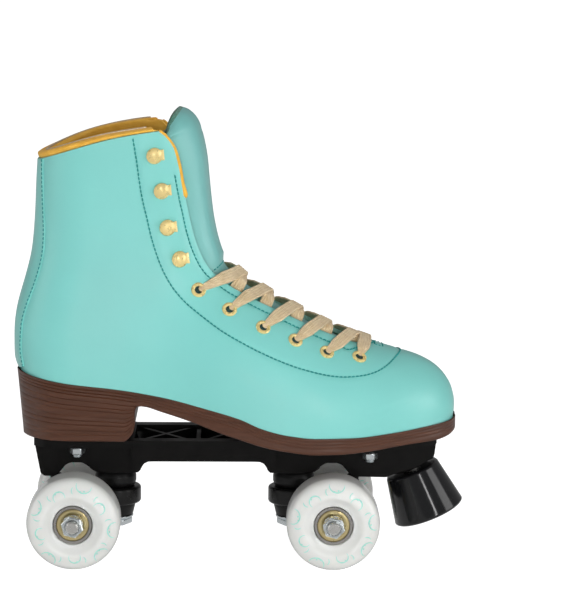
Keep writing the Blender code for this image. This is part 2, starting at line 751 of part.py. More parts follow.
def ribbon(path, width, thick):
    """Flat band along path, a list of (point, normal)."""
    rings = []
    last = len(path) - 1
    for i, (point, normal) in enumerate(path):
        tangent = unit(np.array(path[min(i + 1, last)][0]) - np.array(path[max(i - 1, 0)][0]))
        across = unit(np.cross(np.array(normal), tangent))
        up = np.cross(tangent, across) * thick / 2
        across = across * width / 2
        point = np.array(point)
        rings.append([tuple(point - across - up), tuple(point + across - up),
                      tuple(point + across + up), tuple(point - across + up)])
    return loft(rings)


def lace_bar(skins, a, b, lift, side):
    """Lace from spot a on one side to spot b on the other."""
    spot_a, spot_b = side_spot(skins, a, side), side_spot(skins, b, -side)
    path = [over_throat(skins, spot_a, spot_b, -0.035 + 1.07 * k / LACE_STEPS, lift)
            for k in range(LACE_STEPS + 1)]
    return ribbon(path, LACE_WIDTH, LACE_THICK)


def build_laces(skins):
    """One straight bar at the toe end, then crossed bars up the eyelets."""
    bars = [lace_bar(skins, EYELETS[0], EYELETS[0], 5.5, 1)]
    for a, b in zip(EYELETS[:-1], EYELETS[1:]):
        bars.append(lace_bar(skins, a, b, 5.3, 1))
        bars.append(lace_bar(skins, a, b, 5.75, -1))
    new_object("laces", union(*bars), LACE)


def link_strip(spot_a, spot_b, reach):
    """Thin strip from the body of one eyelet or hook to the next."""
    (point_a, normal_a), (point_b, normal_b) = spot_a, spot_b
    along = unit(point_b - point_a)
    along_a = unit(along - normal_a * along.dot(normal_a))
    along_b = unit(along - normal_b * along.dot(normal_b))
    end_a = point_a + along_a * reach + normal_a * 1.55
    end_b = point_b - along_b * reach + normal_b * 1.55
    middle = (end_a + end_b) / 2 + (normal_a + normal_b) * 0.12
    path = [(end_a, normal_a), (middle, (normal_a + normal_b) / 2), (end_b, normal_b)]
    return ribbon(path, STRIP_WIDTH, STRIP_THICK)


def build_lace_fittings(skins, name, places, profile, reach):
    for side, hand in SIDES:
        spots = [side_spot(skins, place, side) for place in places]
        solids = [turned(profile, point + normal * 1.1, normal, 8)
                  for point, normal in spots]
        solids += [link_strip(a, b, reach) for a, b in zip(spots[:-1], spots[1:])]
        new_object(f"{name}_{hand}", union(*solids), GOLD)


# -------------------------------------------------------------- the chassis
# Flange stations: x, half width, lower z, upper z
HEEL_FLANGE = [(-99.6, 21.0, 66.6, PLATE_TOP), (-97.0, 25.5, 66.6, PLATE_TOP),
               (-92.0, 28.0, 66.6, PLATE_TOP), (-31.0, 28.0, 66.6, PLATE_TOP)]
FRONT_FLANGE = [(17.0, 28.0, 66.6, PLATE_TOP), (33.0, 28.0, 65.8, 70.3),
                (46.0, 28.0, 64.3, 68.9), (57.0, 28.0, 63.2, 67.6),
                (66.0, 28.0, 62.6, 67.0), (76.0, 28.0, 62.6, 67.0),
                (97.0, 27.6, 64.2, 68.4), (110.0, 26.4, 65.7, 70.0),
                (122.0, 24.2, 66.7, 71.1), (132.0, 20.8, 67.3, 71.6),
                (136.6, 16.0, 67.6, 71.8)]
# Side profile over a truck, the same at both ends: distance from x = 0, z
TRUCK_BAY = [(30.0, 67.6), (31.0, 58.2), (36.6, 55.0), (37.4, 50.6), (40.0, 48.2),
             (62.0, 48.2), (64.0, 50.6), (67.6, 53.4), (71.5, 55.9), (78.0, 55.9),
             (81.0, 54.8), (84.6, 50.4), (87.2, 47.8)]
# Rest of each box's outline: x, z
REAR_BOX_END = [(-98.2, 67.6), (-95.6, 49.6), (-94.0, 47.8)]
FRONT_BOX_END = [(107.0, 47.4), (134.6, 58.8), (135.4, 62.0), (136.2, 69.0),
                 (122.0, 68.0), (97.0, 65.6), (76.0, 64.4), (57.0, 64.8)]
# Rail sections beside the arch: inner y, outer y, lower z, upper z
RAILS = [(19.6, 27.9, 66.75, 70.9), (22.6, 26.0, 58.3, 67.4)]
# The arch's two cross-braced bays
RIB_X = (-33.0, -2.5, 28.0)
RIB_Y = 24
RIB_THICK = 2.4


def rib(x0, y0, x1, y1, z0, z1):
    """Upright wall between two points in plan."""
    dx, dy = x1 - x0, y1 - y0
    length = math.hypot(dx, dy)
    ox, oy = -dy / length * RIB_THICK / 2, dx / length * RIB_THICK / 2
    plan = [(x0 - ox, y0 - oy), (x1 - ox, y1 - oy), (x1 + ox, y1 + oy), (x0 + ox, y0 + oy)]
    return loft([[(x, y, z) for x, y in plan] for z in (z0, z1)])


def arch_parts():
    parts = []
    for side in (-1, 1):
        for inner, outer, low, high in RAILS:
            outline = [(-33.4, low), (33.3, low), (33.3, high - 1.2), (17.3, high),
                       (-33.4, high)]
            parts.append(prism_y(outline, *sorted((side * inner, side * outer))))
    for x0, x1 in zip(RIB_X[:-1], RIB_X[1:]):
        for y in (-RIB_Y, RIB_Y):
            parts.append(rib(x0, y, x1, -y, 60.0, 69.6))
    parts.append(rib(RIB_X[1], -RIB_Y, RIB_X[1], RIB_Y, 60.4, 69.2))
    return parts


def chassis_holes():
    holes = []
    kingpin_hole = [(0, 40), (4.9, 40), (4.9, 62.0), (9.6, 62.0), (9.6, 80), (0, 80)]
    for sign, _ in ENDS:
        holes.append(turned(kingpin_hole, (sign * KINGPIN_X, 0, 0), UP, 16))
        holes.append(turned(rod(5.4, -14, 6.4), (sign * PIVOT_X, 0, PIVOT_Z),
                            (sign * PIVOT_LEAN[0], 0, PIVOT_LEAN[1]), 14))
    for x, _ in SOLE_BOLTS.values():
        for side in (-1, 1):
            holes.append(turned(rod(2.9, 58, 80), (x, side * SOLE_BOLT_Y, 0), UP, 12))
    holes.append(turned(rod(5.5, -8, 17.0), STOP_TOP, STOP_AXIS, 14))
    return holes


def build_chassis():
    rear_outline = REAR_BOX_END + [(-x, z) for x, z in reversed(TRUCK_BAY)]
    plate = union(beam_x(HEEL_FLANGE), beam_x(FRONT_FLANGE),
                  prism_y(rear_outline, -18.2, 18.2),
                  prism_y(TRUCK_BAY + FRONT_BOX_END, -17.2, 17.2),
                  *arch_parts())
    new_object("chassis_plate", cut(plate, *chassis_holes()), NYLON)


def build_sole_bolts():
    for end, (x, flange_z) in SOLE_BOLTS.items():
        seat = sole_top(x) - BOLT_SEAT
        tip = flange_z - 6.2
        bolt = [(0, seat + 1.9), (3.6, seat + 1.7), (5.1, seat + 0.6), (5.1, seat),
                (2.5, seat), (2.5, tip), (0, tip)]
        nut = tube(3.3, 4.6, flange_z - 0.4, flange_z - 4.4)
        for side, hand in SIDES:
            base = (x, side * SOLE_BOLT_Y, 0)
            new_object(f"sole_bolt_{end}_{hand}", turned(bolt, base, UP, 12), ZINC)
            new_object(f"sole_nut_{end}_{hand}", turned(nut, base, UP, 6), ZINC)


# --------------------------------------------------------------- the trucks
HOUSING_PROFILE = [(0, -24.4), (5.8, -24.4), (5.8, -20.0), (7.6, -11.0), (7.6, 11.0),
                   (5.8, 20.0), (5.8, 24.4), (0, 24.4)]
RING_PROFILE = [(0, RING_Z - 5.0), (14.0, RING_Z - 5.0), (15.0, RING_Z - 4.0),
                (15.0, RING_Z + 4.0), (14.0, RING_Z + 5.0), (0, RING_Z + 5.0)]
# Web from housing to ring: distance from x = 0, half width, lower z, upper z
HANGER_WEB = [(75.0, 9.0, 24.0, 33.4), (67.0, 10.0, 29.3, 36.0), (58.0, 12.0, 29.3, 38.0)]
PIVOT_PIN_PROFILE = [(0, -13.0), (3.0, -13.0), (3.0, 1.6), (1.8, 3.2), (0, 3.5)]
PIVOT_CUP_PROFILE = [(4.3, -5.0), (5.05, -5.0), (5.05, 6.0), (0, 6.0), (0, 4.4), (4.3, 4.4)]
AXLE_PROFILE = [(0, -62.4), (3.1, -62.4), (3.7, -61.6), (3.7, 61.6), (3.1, 62.4), (0, 62.4)]
KINGPIN_PROFILE = [(0, 67.6), (7.2, 67.6), (8.2, 66.6), (8.2, 62.4), (4.2, 62.4),
                   (4.2, 14.6), (3.6, 14.0), (0, 14.0)]
# Pieces around the kingpin: name, segments, material, profile of (radius, z)
KINGPIN_STACK = [
    ("kingpin_nut", 6, ZINC, [(5.0, 19.6), (9.4, 19.6), (9.8, 19.0), (9.8, 16.0),
                              (9.4, 15.4), (5.0, 15.4)]),
    ("retainer_washer", 16, ZINC, tube(4.9, 10.4, 21.0, 19.9)),
    ("cushion_upper", 16, CUSHION, [(4.9, 47.8), (11.2, 47.8), (12.2, 45.0),
                                    (12.2, 41.8), (11.2, 39.0), (4.9, 39.0)]),
    ("cushion_lower", 16, CUSHION, [(4.9, 28.4), (11.6, 28.4), (10.2, 21.3), (4.9, 21.3)]),
]
WHEEL_SEGMENTS = 20
HUB_HALF = BEARING_Y - BEARING_W / 2 - GAP   # half width between the bearings


def hanger_mesh(sign):
    """Axle housing, kingpin ring, web between them, and arm with pivot pin."""
    axle = (sign * WHEELBASE / 2, 0, AXLE_Z)
    kingpin = (sign * KINGPIN_X, 0, 0)
    pivot = np.array((sign * PIVOT_X, 0.0, PIVOT_Z))
    lean = np.array((sign * PIVOT_LEAN[0], 0.0, PIVOT_LEAN[1]))
    arm_start = np.array((sign * 77.0, 0.0, 30.0))
    arm = pivot - lean * 12.2 - arm_start
    length = float(np.linalg.norm(arm))
    arm_profile = [(0, -3.0), (6.0, -3.0), (6.0, 0.0), (4.2, length),
                   (3.0, length + 1.6), (0, length + 2.0)]
    hanger = union(
        turned(HOUSING_PROFILE, axle, ACROSS, 14),
        turned(RING_PROFILE, kingpin, UP, 20),
        beam_x([(sign * x, w, low, high) for x, w, low, high in HANGER_WEB]),
        turned(arm_profile, arm_start, arm / length, 12),
        turned(PIVOT_PIN_PROFILE, pivot, lean, 12))
    return cut(hanger,
               turned(rod(4.15, -40, 40), axle, ACROSS, 14, phase=0.2),
               turned(rod(6.8, 0, 70), kingpin, UP, 14, phase=0.2))


def build_truck(sign, end):
    axle = (sign * WHEELBASE / 2, 0, AXLE_Z)
    kingpin = (sign * KINGPIN_X, 0, 0)
    ring_centre = (sign * KINGPIN_X, 0, RING_Z)
    pivot = (sign * PIVOT_X, 0, PIVOT_Z)
    lean = (sign * PIVOT_LEAN[0], 0, PIVOT_LEAN[1])
    new_object(f"truck_hanger_{end}", hanger_mesh(sign), CAST, ring_centre)
    new_object(f"axle_{end}", turned(AXLE_PROFILE, axle, ACROSS, 16), STEEL, axle)
    new_object(f"kingpin_{end}", turned(KINGPIN_PROFILE, kingpin, UP, 16), ZINC, ring_centre)
    for name, segments, mat, profile in KINGPIN_STACK:
        new_object(f"{name}_{end}", turned(profile, kingpin, UP, segments), mat)
    new_object(f"pivot_cup_{end}", turned(PIVOT_CUP_PROFILE, pivot, lean, 14), CUSHION, pivot)


def wheel_profile():
    # radii grown so that the flats of the polygon lie at the true radius
    grow = 1.0 / math.cos(math.pi / WHEEL_SEGMENTS)
    tread, shoulder, face = WHEEL_D / 2 * grow, 23.6 * grow, WHEEL_W / 2
    return [(tread, -10.5), (tread, 10.5), (shoulder, 15.4), (19.4, face), (14.6, 13.6),
            (11.5, 13.6), (11.5, HUB_HALF), (6.6, HUB_HALF), (6.6, -HUB_HALF),
            (11.5, -HUB_HALF), (11.5, -13.6), (14.6, -13.6), (19.4, -face),
            (shoulder, -15.4)]


def build_wheel(sign, end, side, hand):
    """Wheel with its two bearings, the spacer between them and the axle nut."""
    x = sign * WHEELBASE / 2
    centre = (x, side * WHEEL_Y, AXLE_Z)
    mesh = turned(wheel_profile(), centre, ACROSS, WHEEL_SEGMENTS)
    new_object(f"wheel_{end}_{hand}", mesh, URETHANE, centre)
    bearing = tube(BEARING_BORE, BEARING_R, -BEARING_W / 2, BEARING_W / 2)
    for offset, place in ((BEARING_Y, "outer"), (-BEARING_Y, "inner")):
        middle = (x, side * (WHEEL_Y + offset), AXLE_Z)
        new_object(f"bearing_{end}_{hand}_{place}", turned(bearing, middle, ACROSS, 16),
                   STEEL, middle)
    spacer = tube(BEARING_BORE, 5.6, -HUB_HALF, HUB_HALF)
    new_object(f"bearing_spacer_{end}_{hand}", turned(spacer, centre, ACROSS, 14),
               STEEL, centre)
    nut_y = side * (WHEEL_Y + BEARING_Y + BEARING_W / 2 + GAP)
    nut = [(4.6, 0.0), (7.4, 0.0), (7.4, 5.0 * side), (6.9, 5.8 * side), (4.6, 5.8 * side)]
    new_object(f"axle_nut_{end}_{hand}", turned(nut, (x, nut_y, AXLE_Z), ACROSS, 6), ZINC)


# -------------------------------------------------------------- the toe stop
def build_toe_stop():
    foot = -STOP_LENGTH
    rubber = [(5.6, 0.0), (15.4, 0.0), (16.2, -0.8), (20.9, foot + 3.0),
              (21.5, foot + 1.6), (20.2, foot), (0, foot), (0, -16.0), (5.6, -16.0)]
    new_object("toe_stop", turned(rubber, STOP_TOP - STOP_AXIS * 1.2, STOP_AXIS, 24), RUBBER)
    new_object("toe_stop_bolt", turned(rod(5.1, -15.2, 16.2), STOP_TOP, STOP_AXIS, 14), ZINC)


# ------------------------------------------------------------------ assembly
boot_upper = build_upper()
build_lining()
build_tongue()
build_insole()
build_outsole()

boot_skins = make_skins(boot_upper)
build_laces(boot_skins)
build_lace_fittings(boot_skins, "eyelets", EYELETS, EYELET_PROFILE, reach=3.5)
build_lace_fittings(boot_skins, "hooks", HOOKS, HOOK_PROFILE, reach=1.5)

build_chassis()
build_sole_bolts()
for end_sign, end_name in ENDS:
    build_truck(end_sign, end_name)
    for side_sign, side_name in SIDES:
        build_wheel(end_sign, end_name, side_sign, side_name)
build_toe_stop()
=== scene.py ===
"""Looks of a quad roller skate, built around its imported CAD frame.

Design coordinates are the CAD's: millimetres, x towards the toe with 0 midway
between the axles, y towards the inner side, z up from the ground. Pieces named
"right" lie at -y and pieces named "left" at +y.
"""
import bpy
import bmesh
import json
import math
import numpy as np
from mathutils import Vector, Matrix
from mathutils.bvhtree import BVHTree
from mathutils.kdtree import KDTree

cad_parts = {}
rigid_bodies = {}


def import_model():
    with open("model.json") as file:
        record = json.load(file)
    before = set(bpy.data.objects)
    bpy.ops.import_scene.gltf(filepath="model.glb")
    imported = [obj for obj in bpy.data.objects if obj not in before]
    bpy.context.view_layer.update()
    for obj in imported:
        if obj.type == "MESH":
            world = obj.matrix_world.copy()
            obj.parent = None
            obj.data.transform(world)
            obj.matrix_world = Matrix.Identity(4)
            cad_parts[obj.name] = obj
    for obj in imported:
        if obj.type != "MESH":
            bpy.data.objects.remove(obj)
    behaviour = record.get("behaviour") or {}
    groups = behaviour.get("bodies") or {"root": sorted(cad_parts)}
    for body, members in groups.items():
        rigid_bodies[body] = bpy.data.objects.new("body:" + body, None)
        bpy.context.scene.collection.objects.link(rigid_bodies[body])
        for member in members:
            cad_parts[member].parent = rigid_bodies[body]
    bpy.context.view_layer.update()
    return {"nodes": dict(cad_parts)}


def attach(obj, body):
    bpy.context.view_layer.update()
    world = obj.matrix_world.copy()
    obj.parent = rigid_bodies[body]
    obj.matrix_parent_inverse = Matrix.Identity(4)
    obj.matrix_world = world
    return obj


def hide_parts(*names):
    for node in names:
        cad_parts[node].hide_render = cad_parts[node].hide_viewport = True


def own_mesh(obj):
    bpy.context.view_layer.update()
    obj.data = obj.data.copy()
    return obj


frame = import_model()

NODES = frame["nodes"]
ROOT = "boot_and_chassis"
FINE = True
MM = 0.001
SHIFT_X = -20.85                 # design x to world x, before scaling
SIDES = ((-1, "right"), (1, "left"))
ACROSS = (0, 1, 0)
UPRIGHT = (0, 0, 1)


# ---------------------------------------------------------------- numbers
def world(x, y, z):
    return Vector(((x + SHIFT_X) * MM, y * MM, z * MM))


def design(point):
    """World point back to design millimetres."""
    return (point.x / MM - SHIFT_X, point.y / MM, point.z / MM)


def ease(t):
    """Smooth step from 0 to 1, flat outside that range."""
    t = min(max(t, 0.0), 1.0)
    return t * t * (3 - 2 * t)


def rise(t, power=2.0):
    """Steep start at 0 that levels out at 1: a quarter circle for power 2."""
    t = min(max(t, 0.0), 1.0)
    return math.sqrt(max(1.0 - (1.0 - t) ** power, 0.0))


def gauss(distance, width):
    return math.exp(-(distance / width) ** 2)


def unit(vector):
    return vector / np.linalg.norm(vector)


def spaced(start, end, count):
    return [start + (end - start) * k / count for k in range(count + 1)]


def interp(x, table, column=1):
    """Monotone cubic through a table whose first column rises."""
    xs = [entry[0] for entry in table]
    ys = [entry[column] for entry in table]
    if x <= xs[0]:
        return ys[0]
    if x >= xs[-1]:
        return ys[-1]
    i = 0
    while x > xs[i + 1]:
        i += 1
    step = xs[i + 1] - xs[i]
    t = (x - xs[i]) / step

    def chord(k):
        return (ys[k + 1] - ys[k]) / (xs[k + 1] - xs[k])

    def slope(k):
        if k == 0:
            return chord(0)
        if k == len(xs) - 1:
            return chord(k - 1)
        before, after = chord(k - 1), chord(k)
        if before * after <= 0:
            return 0.0
        return 2 * before * after / (before + after)

    return ((2 * t ** 3 - 3 * t ** 2 + 1) * ys[i]
            + (t ** 3 - 2 * t ** 2 + t) * step * slope(i)
            + (-2 * t ** 3 + 3 * t ** 2) * ys[i + 1]
            + (t ** 3 - t ** 2) * step * slope(i + 1))


def catmull(points, t):
    """Catmull-Rom curve through points; t counts points."""
    count = len(points)
    i = min(max(int(math.floor(t)), 0), count - 2)
    f = t - i
    near = [points[min(max(k, 0), count - 1)] for k in (i - 1, i, i + 1, i + 2)]
    if i == 0:
        near[0] = [2 * a - b for a, b in zip(points[0], points[1])]
    if i == count - 2:
        near[3] = [2 * a - b for a, b in zip(points[-1], points[-2])]
    return [0.5 * ((2 * b) + (c - a) * f + (2 * a - 5 * b + 4 * c - d) * f * f
                   + (3 * b - a - 3 * c + d) * f ** 3) for a, b, c, d in zip(*near)]


def arc_lengths(points):
    steps = np.linalg.norm(np.diff(points, axis=0), axis=1)
    return np.concatenate([[0], np.cumsum(steps)])


def sample(at, arc, values):
    """Rows of values, read at one arc length."""
    return np.array([np.interp(at, arc, column) for column in values.T])


def bisect(is_low, low, high, steps):
    for _ in range(steps):
        middle = 0.5 * (low + high)
        if is_low(middle):
            low = middle
        else:
            high = middle
    return 0.5 * (low + high)


# ----------------------------------------------------------------- meshes
def make_mesh(verts, faces, tidy=True):
    """Mesh from design points; tidy welds doubles and turns the normals out."""
    mesh = bpy.data.meshes.new("part")
    mesh.from_pydata([world(*p) for p in verts], [], faces)
    mesh.validate()
    if tidy:
        bm = bmesh.new()
        bm.from_mesh(mesh)
        bmesh.ops.remove_doubles(bm, verts=bm.verts, dist=1e-6)
        bmesh.ops.recalc_face_normals(bm, faces=bm.faces)
        bm.to_mesh(mesh)
        bm.free()
    mesh.update()
    return mesh


def piece(name, mesh, mats, body=ROOT, replaces=None, angle=40,
          bevel=0.0, segments=2, bevel_from=40):
    """Object that rides a body. Edges over angle are sharp; bevel is in mm."""
    mesh.name = name
    ob = bpy.data.objects.new(name, mesh)
    bpy.context.scene.collection.objects.link(ob)
    mats = mats if isinstance(mats, list) else [mats]
    kept = [min(face.material_index, len(mats) - 1) for face in mesh.polygons]
    mesh.materials.clear()             # this also puts every face back to the first slot
    for mat in mats:
        mesh.materials.append(mat)
    mesh.polygons.foreach_set("material_index", kept)
    mesh.shade_smooth()
    if angle:
        mesh.set_sharp_from_angle(angle=math.radians(angle))
    if bevel:
        mod = ob.modifiers.new("bevel", "BEVEL")
        mod.width = bevel * MM
        mod.segments = segments
        mod.limit_method = "ANGLE"
        mod.angle_limit = math.radians(bevel_from)
        mod.harden_normals = False
    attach(ob, body)
    if replaces:
        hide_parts(replaces)
    return ob


def recoat(name, mat):
    """Give a CAD piece that stays in view its material."""
    mats = NODES[name].data.materials
    mats.clear()
    mats.append(mat)


def turned_raw(profile, origin, axis, count, phase):
    """Verts and faces of a closed (radius, height) profile turned about an axis."""
    along = Vector(axis).normalized()
    ref = Vector((0, 0, 1)) if abs(along.z) < 0.9 else Vector((1, 0, 0))
    first = along.cross(ref).normalized()
    second = along.cross(first).normalized()
    origin = Vector(origin)
    verts, rings, faces = [], [], []
    for radius, height in profile:
        if radius <= 1e-6:
            rings.append([len(verts)] * count)
            verts.append(tuple(origin + along * height))
            continue
        rings.append(list(range(len(verts), len(verts) + count)))
        for k in range(count):
            t = 2 * math.pi * (k + phase) / count
            spoke = (first * math.cos(t) + second * math.sin(t)) * radius
            verts.append(tuple(origin + along * height + spoke))
    for i, low in enumerate(rings):
        high = rings[(i + 1) % len(rings)]
        low_point, high_point = low[0] == low[1], high[0] == high[1]
        if low_point and high_point:
            continue
        for k in range(count):
            n = (k + 1) % count
            if low_point:
                faces.append((low[k], high[n], high[k]))
            elif high_point:
                faces.append((low[k], low[n], high[k]))
            else:
                faces.append((low[k], low[n], high[n], high[k]))
    return verts, faces


def turned(profile, origin, axis=ACROSS, count=64, phase=0.5):
    return make_mesh(*turned_raw(profile, origin, axis, count, phase))


def bar(radius, low, high):
    """Profile of a plain solid cylinder."""
    return [(0, low), (radius, low), (radius, high), (0, high)]


def mirrored(half):
    """Profile followed by its mirror image in height."""
    return half + [(radius, -height) for radius, height in half[::-1]]


def fillet(corners, steps=4):
    """Outline with its corners rounded; corners are (a, b, radius)."""
    out = []
    for i, (*here, radius) in enumerate(corners):
        here = np.array(here, float)
        if radius <= 0:
            out.append(tuple(here))
            continue
        back = np.array(corners[i - 1][:2], float) - here
        ahead = np.array(corners[(i + 1) % len(corners)][:2], float) - here
        back_len, ahead_len = np.linalg.norm(back), np.linalg.norm(ahead)
        back, ahead = back / back_len, ahead / ahead_len
        half = math.acos(float(np.clip(back @ ahead, -1, 1))) / 2
        if half > 1.53:                # nearly straight
            out.append(tuple(here))
            continue
        cut = min(radius / math.tan(half), 0.48 * back_len, 0.48 * ahead_len)
        radius = cut * math.tan(half)
        centre = here + unit(back + ahead) * (radius / math.sin(half))
        start = math.atan2(*(here + back * cut - centre)[::-1])
        end = math.atan2(*(here + ahead * cut - centre)[::-1])
        sweep = (end - start + math.pi) % (2 * math.pi) - math.pi
        for k in range(steps + 1):
            t = start + sweep * k / steps
            out.append((float(centre[0] + radius * math.cos(t)),
                        float(centre[1] + radius * math.sin(t))))
    return out


def loft_raw(rings):
    """Verts and faces of a capped skin over rings of equal length."""
    n = len(rings[0])
    faces = []
    for i in range(len(rings) - 1):
        for j in range(n):
            k = (j + 1) % n
            faces.append((i * n + j, i * n + k, (i + 1) * n + k, (i + 1) * n + j))
    last = (len(rings) - 1) * n
    faces.append(tuple(range(n - 1, -1, -1)))
    faces.append(tuple(range(last, last + n)))
    return [tuple(p) for ring in rings for p in ring], faces


def loft(rings):
    return make_mesh(*loft_raw(rings))


def prism_y(outline, y0, y1):
    return loft([[(x, y, z) for x, z in outline] for y in (y0, y1)])


def prism_z(outline, z0, z1):
    return loft([[(x, y, z) for x, y in outline] for z in (z0, z1)])


def beam_x(stations):
    """Box section along x; stations are (x, half width, bottom, top)."""
    return loft([[(x, -half, low), (x, half, low), (x, half, high), (x, -half, high)]
                 for x, half, low, high in stations])


def boolean(base, others, operation):
    scene_objects = bpy.context.scene.collection.objects
    ob = bpy.data.objects.new("tmp_base", base)
    scene_objects.link(ob)
    tools = []
    for mesh in others:
        tool = bpy.data.objects.new("tmp_tool", mesh)
        scene_objects.link(tool)
        tools.append(tool)
        mod = ob.modifiers.new("boolean", "BOOLEAN")
        mod.operation = operation
        mod.solver = "EXACT"
        mod.object = tool
    graph = bpy.context.evaluated_depsgraph_get()
    graph.update()
    out = bpy.data.meshes.new_from_object(ob.evaluated_get(graph))
    for tool in tools + [ob]:
        bpy.data.objects.remove(tool, do_unlink=True)
    bm = bmesh.new()
    bm.from_mesh(out)
    bmesh.ops.remove_doubles(bm, verts=bm.verts, dist=2e-6)
    bm.to_mesh(out)
    bm.free()
    return out


def tree_of(mesh):
    bm = bmesh.new()
    bm.from_mesh(mesh)
    tree = BVHTree.FromBMesh(bm)
    bm.free()
    return tree


def joined(parts):
    """One mesh from several (verts, faces)."""
    verts, faces = [], []
    for part_verts, part_faces in parts:
        base = len(verts)
        verts += part_verts
        faces += [tuple(i + base for i in face) for face in part_faces]
    return make_mesh(verts, faces)


# -------------------------------------------------------------- materials
def fill(node, inputs):
    for key, value in inputs.items():
        node.inputs[key.replace("_", " ")].default_value = value


def shade(colour, factor):
    return tuple(min(c * factor, 1.0) for c in colour)


class Material:
    """Procedural material round one Principled shader; its calls chain.

    tint, gloss and bump take the arguments of pattern for what drives them.
    """

    def __init__(self, name, colour, rough, metal=0.0, **inputs):
        self.mat = bpy.data.materials.new(name)
        self.mat.use_nodes = True
        self.mat.diffuse_color = (*colour, 1.0)
        self.tree = self.mat.node_tree
        self.shader = self.tree.nodes["Principled BSDF"]
        self.colour = colour
        fill(self.shader, dict(inputs, Base_Color=(*colour, 1.0), Roughness=rough, Metallic=metal))
        self.coord = self.tree.nodes.new("ShaderNodeTexCoord")
        self.normal = None

    def node(self, kind, **inputs):
        node = self.tree.nodes.new(kind)
        fill(node, inputs)
        return node

    def link(self, source, target):
        self.tree.links.new(source, target)

    def pattern(self, scale=None, detail=3.0, rough=0.5, stretch=None, cells=None, source=None):
        """Socket of a given source, of cells at a scale, or of noise."""
        if source is not None:
            return source
        place = self.coord.outputs["Object"]
        if cells:
            node = self.node("ShaderNodeTexVoronoi", Scale=cells)
            self.link(place, node.inputs["Vector"])
            return node.outputs["Distance"]
        node = self.node("ShaderNodeTexNoise", Scale=scale, Detail=detail, Roughness=rough)
        if stretch:
            mapping = self.node("ShaderNodeMapping", Scale=stretch)
            self.link(place, mapping.inputs["Vector"])
            place = mapping.outputs["Vector"]
        self.link(place, node.inputs["Vector"])
        return node.outputs["Fac"]

    def wave(self, vector, direction, **inputs):
        node = self.node("ShaderNodeTexWave", **inputs)
        node.bands_direction = direction
        self.link(vector, node.inputs["Vector"])
        return node.outputs["Fac"]

    def tint(self, low, high, **pattern):
        """Colour between two, over the middle of the pattern's range."""
        source = self.pattern(**pattern)
        ramp = self.node("ShaderNodeValToRGB")
        for element, position, colour in zip(ramp.color_ramp.elements, (0.3, 0.7), (low, high)):
            element.position = position
            element.color = (*colour, 1)
        self.link(source, ramp.inputs["Fac"])
        self.link(ramp.outputs["Color"], self.shader.inputs["Base Color"])
        return self

    def shades(self, low, high, **pattern):
        """Tint between two multiples of the base colour."""
        return self.tint(shade(self.colour, low), shade(self.colour, high), **pattern)

    def gloss(self, low, high, **pattern):
        """Roughness between two values."""
        source = self.pattern(**pattern)
        node = self.node("ShaderNodeMapRange", From_Min=0.3, From_Max=0.7, To_Min=low, To_Max=high)
        self.link(source, node.inputs["Value"])
        self.link(node.outputs["Result"], self.shader.inputs["Roughness"])
        return self

    def bump(self, strength, depth, **pattern):
        """Bump of a depth in mm, on top of any earlier bump."""
        source = self.pattern(**pattern)
        node = self.node("ShaderNodeBump", Strength=strength, Distance=depth * MM)
        self.link(source, node.inputs["Height"])
        if self.normal is not None:
            self.link(self.normal, node.inputs["Normal"])
        self.normal = node.outputs["Normal"]
        self.link(self.normal, self.shader.inputs["Normal"])
        return self


VINYL = (Material("vinyl_turquoise", (0.222, 0.638, 0.590), rough=0.36, Coat_Weight=0.22,
                  Coat_Roughness=0.22, Specular_IOR_Level=0.45)
         .shades(0.965, 1.035, scale=14, detail=4)
         .gloss(0.33, 0.42, scale=60)
         .bump(strength=0.10, depth=0.10, cells=900)
         .bump(strength=0.10, depth=0.15, scale=320, detail=4)
         .bump(strength=0.12, depth=0.8, scale=22, detail=2).mat)

TONGUE_VINYL = (Material("vinyl_tongue", (0.190, 0.510, 0.485), rough=0.40,
                         Coat_Weight=0.30, Coat_Roughness=0.30)
                .tint((0.182, 0.496, 0.472), (0.200, 0.530, 0.503), scale=18, detail=4)
                .bump(strength=0.08, depth=0.10, cells=900)
                .bump(strength=0.22, depth=0.9, scale=30).mat)

# lighter teal for the leather's cut edges: partly their own colour, partly painted highlight along
# the facing's edge
LEATHER_EDGE_HIGHLIGHT = (Material("leather_edge_and_highlight", (0.30, 0.62, 0.56), rough=0.6)
                .tint((0.25, 0.56, 0.50), (0.36, 0.68, 0.61), scale=500, detail=2).mat)

LINING = (Material("lining_mustard", (0.95, 0.50, 0.070), rough=0.92, Sheen_Weight=0.15,
                   Sheen_Roughness=0.5, Sheen_Tint=(1.0, 0.80, 0.45, 1.0))
          .tint((0.84, 0.43, 0.050), (0.97, 0.54, 0.082), scale=160, detail=5)
          .bump(strength=0.55, depth=0.25, scale=1500)
          .bump(strength=0.3, depth=0.4, scale=120).mat)

# pale sand colour of the collar's seam cord: a real cord, coloured as painted highlight along the
# seam
PIPING_HIGHLIGHT = (Material("piping_painted_highlight", (0.60, 0.46, 0.30), rough=0.85)
          .bump(strength=0.4, depth=0.2, scale=1500, detail=2)
          .tint((0.54, 0.40, 0.24), (0.68, 0.54, 0.37), scale=700, detail=2).mat)


def knit_material():
    """Knitted backing of the tongue: two crossed waves make rows of small cells."""
    knit = Material("knit_teal", (0.085, 0.270, 0.200), rough=0.95, Sheen_Weight=0.3)
    waves = [knit.wave(knit.coord.outputs["Object"], direction, Scale=420.0, Distortion=0.6)
             for direction in "ZY"]
    product = knit.node("ShaderNodeMath")
    product.operation = "MULTIPLY"
    for i in (0, 1):
        knit.link(waves[i], product.inputs[i])
    cells = product.outputs[0]
    knit.tint((0.060, 0.205, 0.150), (0.125, 0.345, 0.265), source=cells)
    return knit.bump(strength=0.8, depth=0.3, source=cells).mat


KNIT = knit_material()

THREAD = (Material("thread_teal", (0.004, 0.270, 0.255), rough=0.6)
          .tint((0.004, 0.230, 0.215), (0.014, 0.34, 0.32), scale=2200, detail=2).mat)

